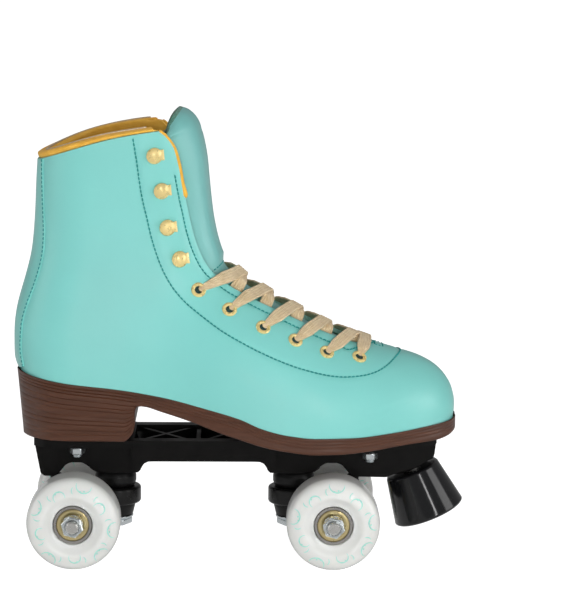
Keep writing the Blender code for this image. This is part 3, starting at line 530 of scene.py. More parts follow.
# moulded brown with faint streaks along the sole's length
SOLE = (Material("sole_brown", (0.080, 0.030, 0.0155), rough=0.42, Coat_Weight=0.06,
                 Specular_IOR_Level=0.4)
        .shades(0.82, 1.22, scale=30, detail=6, rough=0.6, stretch=(1.0, 1.0, 14.0))
        .gloss(0.36, 0.50, scale=90)
        .bump(strength=0.12, depth=0.15, scale=900).mat)


def lace_material():
    """Woven lace; the weave follows the lace's own UV map."""
    lace = Material("lace_cream", (0.71, 0.545, 0.325), rough=0.88, Sheen_Weight=0.25)
    uv = lace.node("ShaderNodeUVMap")
    uv.uv_map = "lace"
    weave = lace.wave(uv.outputs["UV"], "X", Scale=0.55, Distortion=0.5, Detail=1.0)
    lace.tint((0.64, 0.475, 0.270), (0.77, 0.61, 0.385), scale=240, detail=4)
    lace.bump(strength=0.45, depth=0.25, source=weave)
    return lace.bump(strength=0.3, depth=0.2, scale=1800).mat


LACE = lace_material()

GOLD = (Material("gold_lacquer", (0.90, 0.70, 0.29), rough=0.27, metal=0.35,
                 Coat_Weight=0.5, Coat_Roughness=0.12)
        .shades(0.94, 1.05, scale=120)
        .gloss(0.22, 0.34, scale=300).mat)

# painted shade: dark teal for the discs set in the eyelets, standing in for the shadow inside the
# holes
HOLE_SHADE = (Material("hole_painted_shade", (0.012, 0.045, 0.042), rough=0.8)
        .tint((0.008, 0.032, 0.030), (0.016, 0.058, 0.054), scale=400, detail=2).mat)

NYLON = (Material("nylon_black", (0.0042, 0.0040, 0.0038), rough=0.40, Specular_IOR_Level=0.13)
         .tint((0.0034, 0.0032, 0.0031), (0.0054, 0.0051, 0.0048), scale=140, detail=4)
         .gloss(0.34, 0.47, scale=60)
         .bump(strength=0.16, depth=0.12, scale=1100).mat)

TRUCK = (Material("truck_black", (0.0050, 0.0048, 0.0046), rough=0.30, Specular_IOR_Level=0.30,
                  Coat_Weight=0.12, Coat_Roughness=0.15)
         .bump(strength=0.25, depth=0.25, scale=260, detail=4)
         .gloss(0.22, 0.36, scale=90).mat)

CUSHION = (Material("cushion_black", (0.0050, 0.0050, 0.0050), rough=0.38,
                    Specular_IOR_Level=0.30)
           .gloss(0.30, 0.46, scale=120)
           .bump(strength=0.15, depth=0.15, scale=700).mat)

STOP_RUBBER = (Material("toe_stop_rubber", (0.0055, 0.0058, 0.0066), rough=0.13,
                        Specular_IOR_Level=0.36, Coat_Weight=0.30, Coat_Roughness=0.06)
               .gloss(0.09, 0.21, scale=70, detail=5)
               .bump(strength=0.06, depth=0.12, scale=500, detail=4).mat)

URETHANE = (Material("urethane_white", (0.80, 0.805, 0.78), rough=0.24, Subsurface_Weight=0.35,
                     Coat_Weight=0.35, Coat_Roughness=0.08,
                     Subsurface_Radius=(1.0, 1.0, 0.9), Subsurface_Scale=0.006)
            .shades(0.97, 1.02, scale=40)
            .bump(strength=0.03, depth=0.1, scale=400).mat)

PRINT = (Material("print_mint", (0.36, 0.78, 0.68), rough=0.35)
         .tint((0.33, 0.75, 0.65), (0.42, 0.82, 0.72), scale=500, detail=2).mat)


def metal(name, colour, rough, spread=0.08):
    return (Material(name, colour, rough, metal=1.0)
            .gloss(max(rough - spread, 0.05), rough + spread, scale=260, detail=4)
            .shades(0.88, 1.08, scale=90)
            .bump(strength=0.08, depth=0.08, scale=900).mat)


ZINC = metal("zinc_bright", (0.78, 0.83, 0.85), rough=0.26)
STEEL = metal("steel_bright", (0.74, 0.73, 0.70), rough=0.26)
RACE = metal("bearing_race", (0.48, 0.46, 0.44), rough=0.30)
SHIELD = metal("bearing_shield", (0.80, 0.66, 0.34), rough=0.32)

INSOLE = (Material("insole_cloth", (0.16, 0.115, 0.05), rough=0.95)
          .tint((0.13, 0.09, 0.04), (0.20, 0.145, 0.065), scale=300, detail=4)
          .bump(strength=0.4, depth=0.3, scale=1200).mat)

# ------------------------------------------------------- shape of the boot
# The upper is a fan of rows. Each starts on the crest, the middle line over the
# toe and up the instep, and ends at the sole, or from ROW_HEEL on at the back.
# Columns: crest (x, z), lower end (x, z).
ROWS = [
    ((146.6, 82.0), (146.6, 82.0)),
    ((147.5, 87.0), (144.5, 81.7)),
    ((147.0, 94.5), (139.0, 81.1)),
    ((143.6, 103.5), (130.0, 80.2)),
    ((136.5, 111.5), (118.0, 78.9)),
    ((126.5, 117.2), (104.0, 77.3)),
    ((114.0, 121.2), (88.0, 76.2)),
    ((101.0, 125.0), (70.0, 75.9)),
    ((88.0, 129.5), (50.0, 77.8)),
    ((72.0, 136.0), (28.0, 84.2)),
    ((56.0, 144.0), (0.0, 92.4)),
    ((40.0, 152.5), (-30.0, 98.7)),
    ((27.0, 160.5), (-60.0, 102.7)),
    ((17.0, 168.5), (-85.0, 105.6)),
    ((10.8, 177.0), (-108.9, 109.3)),
    ((7.2, 187.0), (-111.5, 127.0)),
    ((4.6, 199.0), (-110.0, 146.0)),
    ((3.0, 211.0), (-104.6, 165.5)),
    ((1.8, 223.0), (-101.0, 181.0)),
    ((0.6, 235.0), (-99.0, 201.0)),
    ((-1.5, 246.0), (-98.0, 220.0)),
    ((-3.9, 253.8), (-97.1, 233.2)),
    ((-4.8, 258.5), (-97.0, 238.2)),
]
CREST_ENDS, LOWER_ENDS = zip(*ROWS)
ROW_HEEL = 14
ROW_TOP = len(ROWS) - 1
RAISE = 0.3                      # the leather's outside above the lofted rows
LEATHER = 2.4                    # its thickness
TOE_X = 147.0
HEEL_LENGTH = 36.0               # over which the heel rounds in

# (square root of the distance behind the toe, half width right, half width left)
PLAN = [(0.0, 0.0, 0.0), (1.0, 10.5, 10.5), (2.24, 19.7, 19.5), (3.2, 25.2, 24.8),
        (4.36, 31.2, 30.4), (6.0, 39.0, 37.0), (7.28, 44.4, 41.8), (8.4, 48.2, 44.8),
        (9.38, 50.0, 46.2), (10.25, 50.2, 46.5), (11.04, 48.6, 45.8), (11.8, 45.4, 43.8),
        (12.5, 41.2, 40.8), (13.3, 37.2, 37.2), (14.03, 35.2, 35.2), (14.9, 34.6, 34.6),
        (16.1, 34.2, 34.2)]
# (z, half width of the shaft)
SHAFT = [(100, 34.4), (130, 34.0), (150, 33.0), (170, 32.4), (190, 33.0),
         (210, 34.8), (230, 37.2), (245, 39.2), (258, 40.4)]
# (crest arc, depth over which the width rounds off towards the crest)
CREST_DEPTH = [(0, 70.0), (30, 66.0), (55, 53.0), (80, 49.0), (130, 48.0),
               (160, 43.0), (185, 39.0), (260, 38.0)]
# (x, z) where the upper meets the sole
SOLE_LINE = [(-112, 109.8), (-108.9, 109.3), (-89.7, 106.2), (-75.7, 104.3),
             (-52.3, 101.9), (-38.3, 100.0), (-19.6, 96.9), (-5.5, 93.7),
             (20.9, 87.0), (33.0, 81.9), (49.0, 77.9), (65.0, 76.2), (86.0, 76.1),
             (107.0, 77.6), (128.6, 80.0), (147.0, 82.0), (150.0, 82.3)]
# (z, x) down the back of the heel
BACK_LINE = [(60, -109.0), (109.3, -108.9), (119, -110.8), (127, -111.5), (138, -111.3),
             (149.6, -108.9), (157, -106.8), (165.0, -104.7), (172, -102.6), (178.7, -101.0),
             (192, -99.6), (201, -99.0), (220, -98.1), (236.5, -97.0), (260, -96.0)]
# (crest arc beyond the throat's tip, half width of the throat between the facings)
THROAT = [(0.0, 3.0), (1.0, 9.0), (3.5, 12.3), (8.0, 14.2), (14.0, 15.3), (24.0, 16.4),
          (38.0, 17.8), (50.0, 19.0), (60.0, 20.2), (70.0, 21.2), (82.0, 21.7), (92.0, 22.0),
          (100.0, 22.9), (110.0, 23.8), (124.0, 25.0), (131.0, 25.9), (138.0, 27.0),
          (148.0, 28.6), (158.0, 30.1), (167.0, 31.4), (175.5, 32.8), (178.3, 34.0),
          (180.4, 35.8), (181.8, 37.6), (183.5, 38.2)]

CREST = np.array([catmull(CREST_ENDS, ROW_TOP * k / 520.0) for k in range(521)])
CREST_ARC = arc_lengths(CREST)
CREST_STEPS = CREST[1:] - CREST[:-1]
CREST_STEPS_SQ = (CREST_STEPS * CREST_STEPS).sum(1)


def nearest_crest(points):
    """Distance to the crest and crest arc there, for an array of (x, z)."""
    points = points[:, None, :]
    t = np.clip(((points - CREST[:-1]) * CREST_STEPS).sum(2) / CREST_STEPS_SQ, 0, 1)
    gaps = ((points - (CREST[:-1] + CREST_STEPS * t[:, :, None])) ** 2).sum(2)
    best = gaps.argmin(1)
    each = np.arange(len(best))
    arcs = CREST_ARC[best] + t[each, best] * (CREST_ARC[best + 1] - CREST_ARC[best])
    return np.sqrt(gaps[each, best]), arcs


def crest_arc(x, z):
    return float(nearest_crest(np.array([(x, z)]))[1][0])


def crest_arc_at(axis, value, sense):
    """Arc where the crest's x (axis 0) or z (axis 1) first passes a value."""
    k = int(np.argmax(sense * CREST[:, axis] >= sense * value))
    before, after = CREST[k - 1:k + 1, axis]
    f = (value - before) / (after - before)
    return CREST_ARC[k - 1] + f * (CREST_ARC[k] - CREST_ARC[k - 1])


def crest_at(arc):
    """Crest point (x, z) at an arc length."""
    k = min(max(int(np.searchsorted(CREST_ARC, arc)) - 1, 0), len(CREST) - 2)
    f = (arc - CREST_ARC[k]) / (CREST_ARC[k + 1] - CREST_ARC[k])
    return CREST[k] + (CREST[k + 1] - CREST[k]) * f


# offsets on two rings, turned against each other
SPREAD = np.array([(radius * math.cos(turn + math.pi * k / 4.0),
                    radius * math.sin(turn + math.pi * k / 4.0))
                   for radius, turn in ((1.0, 0.0), (0.55, 0.39)) for k in range(8)])


def front_factor(distance, arc):
    return rise(distance / interp(arc, CREST_DEPTH))


def soft_factor(x, z):
    """front_factor averaged round the place, so the toe has no ridge where the
    nearest part of the crest changes."""
    place = np.array([(x, z)])
    distance, arc = (float(value[0]) for value in nearest_crest(place))
    total = front_factor(distance, arc)
    if x < 55.0:
        return total
    radius = min(14.0, 0.4 * distance) * ease((x - 55.0) / 25.0)
    if radius < 0.4:
        return total
    for near, near_arc in zip(*nearest_crest(place + radius * SPREAD)):
        total += front_factor(float(near), float(near_arc))
    return total / (len(SPREAD) + 1)


def heel_round(x, back):
    return rise((x - back) / HEEL_LENGTH, power=2.2)


def back_factor(x, z):
    return heel_round(x, interp(z, BACK_LINE))


def plan_width(x, side):
    return interp(math.sqrt(max(TOE_X - x, 0.0)), PLAN, 1 if side < 0 else 2)


def plateau(x, z, side):
    """Half width before rounding: the plan below, the shaft above."""
    k = ease((z - 105.0) / 65.0) * ease((45.0 - x) / 60.0)
    return plan_width(x, side) * (1 - k) + interp(z, SHAFT) * k


def row_ends(row):
    crest = catmull(CREST_ENDS, row)
    lower = catmull(LOWER_ENDS, row)
    if row < ROW_HEEL:
        lower[1] = interp(lower[0], SOLE_LINE)
    return crest, lower


def boot_point(row, part, side):
    """Point on the outside of the upper; part 0 at the crest, 1 at the lower end."""
    crest, lower = row_ends(row)
    arch = 4.6 * ease((row - 17.0) / 4.0)
    x = crest[0] + (lower[0] - crest[0]) * part
    z = crest[1] + (lower[1] - crest[1]) * part + arch * math.sin(math.pi * part)
    if part <= 0.0 or (row >= ROW_HEEL and part >= 1.0):
        return (x, 0.0, z)
    if row < ROW_HEEL and part >= 1.0:
        return (x, side * plan_width(lower[0], side) * back_factor(*lower), z)
    factor = soft_factor(x, z)
    width = plateau(x, z, side) * factor * back_factor(x, z)
    if row < ROW_HEEL:                 # near the toe the sole's width rules the whole row
        toe = plan_width(lower[0], side) * factor / max(soft_factor(*lower), 1e-4)
        k = ease((row - 6.0) / 5.0)
        width = toe * (1 - k) + width * k
    return (x, side * width, z)


def raised_point(row, part, side):
    return np.array(boot_point(row, part, side)) + np.array([0, 0, RAISE])


ARC_THROAT = crest_arc_at(0, 95.5, sense=-1)


def throat_half(arc):
    return interp(arc - ARC_THROAT, THROAT)


def edge_part(row, side):
    """Where along a row the facing's edge lies."""
    def in_throat(part):
        x, y, z = boot_point(row, part, side)
        arc = crest_arc(x, z)
        return arc >= ARC_THROAT and abs(y) <= throat_half(arc)
    return bisect(in_throat, 0.0, 0.6, steps=20)


ROW_THROAT = bisect(lambda row: crest_arc(*row_ends(row)[0]) < ARC_THROAT, 5.0, 9.0, steps=30)


def row_length(row):
    crest, lower = row_ends(row)
    return math.hypot(crest[0] - lower[0], crest[1] - lower[1]) * 1.15


def boot_grid(rows, steps, throat=True, shift=None):
    """Open surface over rows, both sides welded along the vamp's crest and the back.

    shift(row) moves the facing's edge towards the middle, in mm. Returns points,
    normals, faces and for each point (row, how far it is from the facing's edge).
    """
    points, places, faces = [boot_point(0.0, 0.0, 1)], [(0.0, 1.0)], []
    grids = {}
    for side in (-1, 1):
        grid = []
        for i, row in enumerate(rows[1:]):
            start = edge_part(row, side) if throat and row > ROW_THROAT else 0.0
            if shift and start > 0:
                start = max(start - shift(row) / row_length(row), 0.0)
            k = ease((row - 11.0) / 2.6)
            line = []
            for j in range(steps + 1):
                a = j / steps
                on_crest = j == 0 and (row <= ROW_THROAT or not throat)
                if side == 1 and (on_crest or (j == steps and row >= ROW_HEEL)):
                    line.append(grids[-1][i][j])
                    continue
                both_ends = 0.5 * a + 0.25 * (1 - math.cos(math.pi * a))
                near_crest = 0.6 * a + 0.4 * (1 - math.cos(math.pi * a / 2))
                spread = k * both_ends + (1 - k) * near_crest
                line.append(len(points))
                points.append(boot_point(row, start + (1 - start) * spread, side))
                places.append((row, a if start > 0 else 1.0))
            grid.append(line)
        grids[side] = grid
        for j in range(steps):
            face = (0, grid[0][j], grid[0][j + 1])
            faces.append(face[::side])
        for i in range(len(grid) - 1):
            for j in range(steps):
                face = (grid[i][j], grid[i + 1][j], grid[i + 1][j + 1], grid[i][j + 1])
                faces.append(face[::side])
    points = np.array(points)
    normals = np.zeros_like(points)
    for face in faces:
        normal = np.cross(points[face[2]] - points[face[0]], points[face[-1]] - points[face[1]])
        for v in face:
            normals[v] += normal
    normals /= np.maximum(np.linalg.norm(normals, axis=1), 1e-9)[:, None]
    if normals[0][0] < 0:
        normals = -normals
        faces = [face[::-1] for face in faces]
    points[:, 2] += RAISE
    return points, normals, faces, places


def shell(points, normals, faces, outer, inner):
    """Closed shell between two insets in mm; also gives its rim's face numbers."""
    n = len(points)
    front = points - normals * np.asarray(outer)[:, None]
    back = points - normals * np.asarray(inner)[:, None]
    edges = set()
    for face in faces:
        for k in range(len(face)):
            edges.add((face[k], face[(k + 1) % len(face)]))
    out = list(faces) + [tuple(v + n for v in face[::-1]) for face in faces]
    rim = []
    for (a, b) in edges:
        if (b, a) not in edges:
            rim.append(len(out))
            out.append((b, a, a + n, b + n))
    return [tuple(p) for p in front] + [tuple(p) for p in back], out, rim


# ------------------------------------------------------ outside of the upper
def upper_rows():
    """Rows of the upper, close together at the toe's tip and the throat's tip."""
    rows = ([0.0, 0.12, 0.25, 0.4, 0.55, 0.7] + spaced(0.85, 6.0, 34 if FINE else 20)
            + spaced(6.0, ROW_THROAT, 8)[1:]
            + [ROW_THROAT + step for step in (0.02, 0.06, 0.12, 0.2, 0.3)]
            + spaced(ROW_THROAT + 0.4, 13.3, 70 if FINE else 34) + spaced(13.3, 14.0, 9)[1:]
            + spaced(14.0, 21.0, 84 if FINE else 40)[1:])
    return sorted(set(round(row, 5) for row in rows))


skin, skin_normals, skin_faces, _ = boot_grid(upper_rows(), 64 if FINE else 34)
SKIN_TREE = tree_of(make_mesh([tuple(p) for p in skin], skin_faces, tidy=False))


def on_skin(x, y, z):
    return design(SKIN_TREE.find_nearest(world(x, y, z))[0])


def side_hits(outline, side):
    """Points of the outside at each (x, z), seen from the side, where there are any."""
    hits = [SKIN_TREE.ray_cast(world(x, side * 200.0, z), Vector((0, -side, 0)))[0]
            for x, z in outline]
    return [design(hit) for hit in hits if hit is not None]


def snapped(points, step=0.35):
    """Smooth curve through points, laid on the outside: list of (point, normal)."""
    n = len(points)
    dense = []
    for k in range(n * 24 + 1):
        hit = SKIN_TREE.find_nearest(world(*catmull(points, (n - 1) * k / (n * 24.0))))
        dense.append((np.array(design(hit[0])), np.array(hit[1])))
    gone, kept = 0.0, [dense[0]]       # even spacing
    for before, after in zip(dense[:-1], dense[1:]):
        gone += float(np.linalg.norm(after[0] - before[0]))
        if gone >= step:
            kept.append(after)
            gone = 0.0
    normals = np.array([normal for _p, normal in kept])
    reach = 5                          # steady the normals over neighbours
    padded = np.vstack([normals[:1]] * reach + [normals] + [normals[-1:]] * reach)
    return [(point, unit(padded[i:i + 2 * reach + 1].mean(0)))
            for i, (point, _n) in enumerate(kept)]


# (x, z) of the outer seam round the facing, from the top down
FACING_SEAM = [(-40.8, 248.4), (-39.0, 237.0), (-36.2, 216.6), (-33.1, 202.3), (-29.7, 188),
               (-25.2, 174.8), (-19.5, 163.8), (-12, 154.6), (-2.3, 146.6), (9.2, 138.5),
               (20.7, 132.1), (33.3, 125.8), (49.5, 118.9), (66.7, 113.7), (81.1, 111.4),
               (95.5, 112.1), (105.5, 115.4)]


def outer_seam():
    right, left = (side_hits(FACING_SEAM, side) for side in (-1, 1))
    tip = [on_skin(112.6, -12.5, 119.6), on_skin(115.3, 0.0, 121.3), on_skin(112.6, 12.5, 119.6)]
    return snapped(right + tip + left[::-1])


def inner_seam(margin=4.0, top=18.75):
    """Seam a margin inside the throat's edge."""
    right, left = ([tuple(raised_point(row, edge_part(row, side) + margin / row_length(row), side))
                    for row in spaced(top, ROW_THROAT + 0.5, 26)] for side in (-1, 1))
    x, z = crest_at(ARC_THROAT - margin)
    return snapped(right + [(x, 0.0, z)] + left[::-1])


FACING_SEAMS = [outer_seam(), inner_seam()]

# small box of stitches in front of the throat's tip
TACK_X, TACK_Y = (99.3, 101.8, 104.3), 6.5
TACK = [snapped([on_skin(x, y, z) for y in (-TACK_Y, 0, TACK_Y)])
        for x, z in ((TACK_X[0], 123.5), (TACK_X[2], 123.0))]
TACK += [snapped([on_skin(x, y, 123.0) for x in TACK_X]) for y in (-TACK_Y, TACK_Y)]


def groove_depths():
    """Soft groove along each seam, and a crease from the facing to the toe."""
    seam = [point for line in FACING_SEAMS for point, _n in line]
    tree = KDTree(len(seam))
    for i, point in enumerate(seam):
        tree.insert(Vector(point), i)
    tree.balance()
    depths = np.zeros(len(skin))
    for i, (x, y, z) in enumerate(skin):
        distance = tree.find(Vector((x, y, z)))[2]
        if distance < 5.0:
            depths[i] = 0.42 * gauss(distance, 1.5)
        if 116.0 < x < 146.0 and abs(y) < 5.0 and z > 95:
            depths[i] += 0.22 * gauss(y, 1.0) * ease((x - 116) / 4) * ease((146 - x) / 4)
    return depths


verts, faces, rim = shell(skin, skin_normals, skin_faces, groove_depths(),
                          np.full(len(skin), LEATHER))
upper = make_mesh(verts, faces, tidy=False)
# rim faces take the lighter edge colour, which is partly painted highlight
for i in rim:
    upper.polygons[i].material_index = 1
piece("boot_upper_leather", upper, [VINYL, LEATHER_EDGE_HIGHLIGHT], replaces="boot_upper",
      angle=0, bevel=0.7, segments=3, bevel_from=55)


def stitches(name, lines, pitch=2.5):
    """Short raised stitches along lines of (point, normal)."""
    filled = 0.90                      # share of the pitch
    radius, widen, sides, steps = 0.40, 1.15, 6, 6
    sunk, hump = 0.37, 0.42            # height of the ends below, and of the middle over them
    parts = []
    for line in lines:
        points = np.array([point for point, _n in line])
        normals = np.array([normal for _p, normal in line])
        arc = arc_lengths(points)
        k = 0
        while (k + filled) * pitch < arc[-1]:
            rings = []
            for i in range(steps + 1):
                q = i / steps
                at = k * pitch + pitch * filled * q
                centre = sample(at, arc, points)
                normal = unit(sample(at, arc, normals))
                along = unit(sample(at + 0.2, arc, points) - sample(at - 0.2, arc, points))
                across = unit(np.cross(normal, along))
                full = math.sin(math.pi * q) ** 0.5 if 0 < q < 1 else 0.0
                r = radius * (0.35 + 0.65 * full)
                height = hump * full - sunk
                turns = [2 * math.pi * j / sides for j in range(sides)]
                rings.append([centre + normal * (height + r * math.sin(t))
                              + across * r * widen * math.cos(t) for t in turns])
            parts.append(loft_raw(rings))
            k += 1
    piece(name, joined(parts), THREAD, angle=0)


stitches("stitch_facing", FACING_SEAMS)
stitches("stitch_tack", TACK, pitch=1.9)

# --------------------------------------------------- back strip on the heel
# (z, half width)
STRIP = [(108, 16.5), (125, 18.2), (140, 19.3), (150, 19.9), (162, 21.2), (172, 21.3),
         (185, 21.3), (210, 19.9), (222, 19.3), (236, 17.8)]
STRIP_HEIGHT = 0.95              # above the leather
STRIP_STEPS = 18                 # from its edge to the middle


def strip_part(row, side):
    def beside(part):
        _x, y, z = boot_point(row, part, side)
        return abs(y) > interp(z, STRIP)
    return bisect(beside, 0.55, 1.0, steps=24)


def back_strip():
    grid = []
    for row in spaced(14.04, 20.98, 70):
        right, left = ([raised_point(row, start + (1 - start) * j / STRIP_STEPS, side)
                        for j in range(STRIP_STEPS + 1)]
                       for side, start in ((-1, strip_part(row, -1)), (1, strip_part(row, 1))))
        grid.append(right + left[-2::-1])
    grid = np.array(grid)
    for _ in range(6):
        grid[:, 1:-1] = 0.5 * grid[:, 1:-1] + 0.25 * (grid[:, :-2] + grid[:, 2:])
        grid[1:-1] = 0.5 * grid[1:-1] + 0.25 * (grid[:-2] + grid[2:])
    normals = np.cross(np.gradient(grid, axis=1), np.gradient(grid, axis=0))
    normals /= np.maximum(np.linalg.norm(normals, axis=2), 1e-9)[:, :, None]
    if normals[35, STRIP_STEPS][0] > 0:
        normals = -normals
    rows, cols = grid.shape[:2]
    faces = [(i * cols + j, (i + 1) * cols + j, (i + 1) * cols + j + 1, i * cols + j + 1)
             for i in range(rows - 1) for j in range(cols - 1)]
    count = rows * cols
    verts, faces, _rim = shell(grid.reshape(-1, 3), normals.reshape(-1, 3), faces,
                               np.full(count, -STRIP_HEIGHT), np.full(count, 0.4))
    piece("back_strip", make_mesh(verts, faces), VINYL, angle=0,
          bevel=0.45, segments=2, bevel_from=50)
    lines = []
    for edge, inside in ((0, 1), (cols - 1, cols - 2)):
        lines.append([(grid[i, edge] * 0.12 + grid[i, inside] * 0.88
                       + normals[i, inside] * STRIP_HEIGHT, normals[i, inside])
                      for i in range(rows)])
    stitches("stitch_back_strip", lines)


back_strip()

# ------------------------------------------------ lining and padded collar
ROW_COLLAR = 21.0                # the collar's roll stands above this row
# (row, inset of the lining's outer face)
COLLAR_OUT = [(21.0, 3.0), (21.03, 1.2), (21.08, 0.15), (21.2, -0.55), (21.45, -0.8),
              (21.7, -0.2), (21.86, 1.0), (21.95, 2.4), (22.0, 3.9)]
# (row, thickness of the padding)
COLLAR_PAD = [(0, 0.0), (18.0, 0.0), (19.4, 2.4), (20.6, 4.3), (21.3, 4.5), (21.65, 3.9),
              (21.85, 2.4), (21.95, 1.0), (22.0, 0.1)]


def lining_inner(row, from_edge):
    return 4.8 + interp(row, COLLAR_PAD) * ease(from_edge / 0.22)


def lining_shift(row):
    return 1.5 * ease((row - 17.1) / 0.5) - 0.8 * ease((17.1 - row) / 0.5)


def collar_drop(x):
    """The collar's top gets lower towards the front."""
    return 2.45 * ease((x + 104.0) / 70.0)


def lining():
    rows = (spaced(0.0, 6.0, 14) + spaced(6.0, ROW_THROAT, 3)
            + [ROW_THROAT + 0.05, ROW_THROAT + 0.15, ROW_THROAT + 0.3]
            + spaced(ROW_THROAT + 0.5, 13.3, 24) + spaced(13.3, 14.0, 6) + spaced(14.0, 20.9, 42)
            + [20.97, 21.03, 21.08, 21.15, 21.25, 21.37, 21.5, 21.62, 21.74, 21.84, 21.92,
               21.97, 22.0])
    rows = sorted(set(round(row, 4) for row in rows))
    points, normals, faces, places = boot_grid(rows, 40 if FINE else 26, shift=lining_shift)
    for point, (row, _edge) in zip(points, places):
        if row > ROW_COLLAR:
            point[2] -= (row - ROW_COLLAR) * collar_drop(point[0])
    verts, faces, _rim = shell(points, normals, faces,
                               [interp(row, COLLAR_OUT) for row, _edge in places],
                               [lining_inner(*place) for place in places])
    piece("lining_and_collar", make_mesh(verts, faces, tidy=False), LINING,
          replaces="collar_lining", angle=0, bevel=0.5, bevel_from=60)


lining()


def tube(name, points, radii, sides, mat):
    points = np.asarray(points, float)
    turns = [2 * math.pi * j / sides for j in range(sides)]
    rings = []
    for i, (point, radius) in enumerate(zip(points, radii)):
        along = unit(points[min(i + 1, len(points) - 1)] - points[max(i - 1, 0)])
        ref = np.array([0, 0, 1.0]) if abs(along[2]) < 0.9 else np.array([0, 1.0, 0])
        across = unit(np.cross(ref, along))
        up = np.cross(along, across)
        rings.append([point + (across * math.cos(t) + up * math.sin(t)) * radius
                      for t in turns])
    piece(name, loft(rings), mat, angle=0)


def collar_cord():
    """Cord along the collar's top edge; its pale sand colour paints the highlight that the seam
    there catches.
    """
    right, left = ([boot_point(22.0, start + (1 - start) * k / 60, side) for k in range(61)]
                   for side, start in ((-1, edge_part(22.0, -1)), (1, edge_part(22.0, 1))))
    points = np.array(right + left[::-1][1:])
    inwards = points.mean(0) - points
    inwards[:, 2] = 0
    inwards /= np.linalg.norm(inwards, axis=1)[:, None]
    points = points + inwards * 4.4 + np.array([0, 0, 0.35])
    points[:, 2] -= np.array([collar_drop(x) for x in points[:, 0]])
    tube("collar_cord", points, [0.75] * len(points), 8, PIPING_HIGHLIGHT)


def facing_fold(side, word):
    """The lining shows as a folded edge along the upper part of each facing."""
    points, radii = [], []
    for k, row in enumerate(spaced(17.55, 21.0, 60)):
        part = edge_part(row, side)
        edge = raised_point(row, part, side)
        outwards = unit(edge - raised_point(row, part + 3.0 / row_length(row), side))
        upwards = raised_point(row + 0.05, edge_part(row + 0.05, side), side) - edge
        normal = unit(np.cross(outwards, upwards))
        if normal[1] * side < 0:
            normal = -normal
        start = min(k / 4.0, 1.0)
        radius = 1.35 + 0.75 * gauss(k - 3, 7.0) - 0.35 * ease((k - 30) / 20.0)
        radii.append(radius * math.sqrt(max(1 - (1 - start) ** 2, 0.02)))
        points.append(edge + outwards * (0.30 + 0.35 * (radius - 1.35)) - normal * (radius * 0.72))
    tube("facing_fold_%s" % word, points, radii, 14, LINING)


collar_cord()
for side, word in SIDES:
    facing_fold(side, word)
recoat("insole", INSOLE)

# --------------------------------------------- the outside without its throat
closed, _, closed_faces, _ = boot_grid(spaced(0.0, 22.0, 120), 26, throat=False)
CLOSED_TREE = tree_of(make_mesh([tuple(p) for p in closed], closed_faces, tidy=False))


def crest_frame(arc):
    """Crest point and unit normal, both (x, z), averaged over a short length."""
    last = CREST_ARC[-1] - 0.01
    along = unit(crest_at(min(arc + 3.0, last)) - crest_at(max(arc - 3.0, 0.5)))
    return crest_at(min(max(arc, 0.5), last)), np.array((along[1], -along[0]))


def skin_at(arc, y):
    crest, normal = crest_frame(arc)
    place = world(crest[0], y, crest[1])
    outwards = Vector((normal[0], 0, normal[1]))
    hit = CLOSED_TREE.ray_cast(place + outwards * 0.03, -outwards, 0.12)
    if hit[0] is None:
        hit = CLOSED_TREE.find_nearest(place)
    return np.array(design(hit[0]))


def over(arc, y, lift, reach=1.6):
    """Point at a crest arc and signed y, lifted off the outside, and its normal."""
    normal = unit(np.cross(skin_at(arc + reach, y) - skin_at(arc - reach, y),
                           skin_at(arc, y + reach) - skin_at(arc, y - reach)))
    crest_normal = crest_frame(arc)[1]
    if normal[0] * crest_normal[0] + normal[2] * crest_normal[1] < 0:
        normal = -normal
    return skin_at(arc, y) + normal * lift, normal


def spot(x, z, side):
    """Point and normal of the outside at (x, z) seen from the side."""
    def hit(hx, hz):
        start = world(hx, side * 90.0, hz)
        return np.array(design(CLOSED_TREE.ray_cast(start, Vector((0, -side, 0)), 0.09)[0]))
    normal = unit(np.cross(hit(x + 2, z) - hit(x - 2, z), hit(x, z + 2) - hit(x, z - 2)))
    if normal[1] * side < 0:
        normal = -normal
    return hit(x, z), normal


# ------------------------------------------------------------------ tongue
# Its length is measured as "reach", from the throat's tip up along the crest.
REACH_PAD = crest_arc_at(1, 173.5, sense=1) - ARC_THROAT      # the padding starts here
REACH_BEND = crest_arc_at(1, 249.0, sense=1) - ARC_THROAT     # the free top leaves the crest
# (x, z) along the free top
BEND = [(-2.9, 249.0), (-4.2, 254.2), (-6.8, 258.6), (-10.6, 262.0), (-15.2, 263.9)]
BEND_LINE = np.array([catmull(BEND, (len(BEND) - 1) * k / 60.0) for k in range(61)])
BEND_ARC = arc_lengths(BEND_LINE)
REACH_TOP = REACH_BEND + float(BEND_ARC[-1])
# (reach, half width)
TONGUE_HALF = [(0, 6.0), (4, 11.0), (12, 15.5), (35, 20.0), (60, 23.5), (80, 25.5),
               (100, 27.0), (124, 29.0), (140, 31.3), (150, 33.0), (160, 34.5), (170, 35.5),
               (REACH_TOP, 36.0)]
# (reach, how far the unpadded part lies under the boot's outside)
TONGUE_DEPTH = [(0, 4.2), (30, 4.0), (60, 3.2), (85, 2.6), (130, 2.2)]
TONGUE_CORNER = 17.0
TONGUE_SIDES = 48


def padding(reach):
    return ease((reach - REACH_PAD) / 6.0)


def tongue_inset(reach, y):
    """How far the tongue's face lies under the boot's outside."""
    pad = padding(reach)
    base = interp(reach, TONGUE_DEPTH) * (1 - pad) + 0.3 * pad
    gap = throat_half(min(ARC_THROAT + reach, CREST_ARC[-1] - 1.0))
    under = ease((abs(y) / max(gap, 4.0) - 0.25) / 0.78) ** 1.5
    free = ease((reach - (REACH_BEND - 6.0)) / 14.0)
    return base + (4.6 - 0.35 * base) * under * (1 - 0.35 * free)


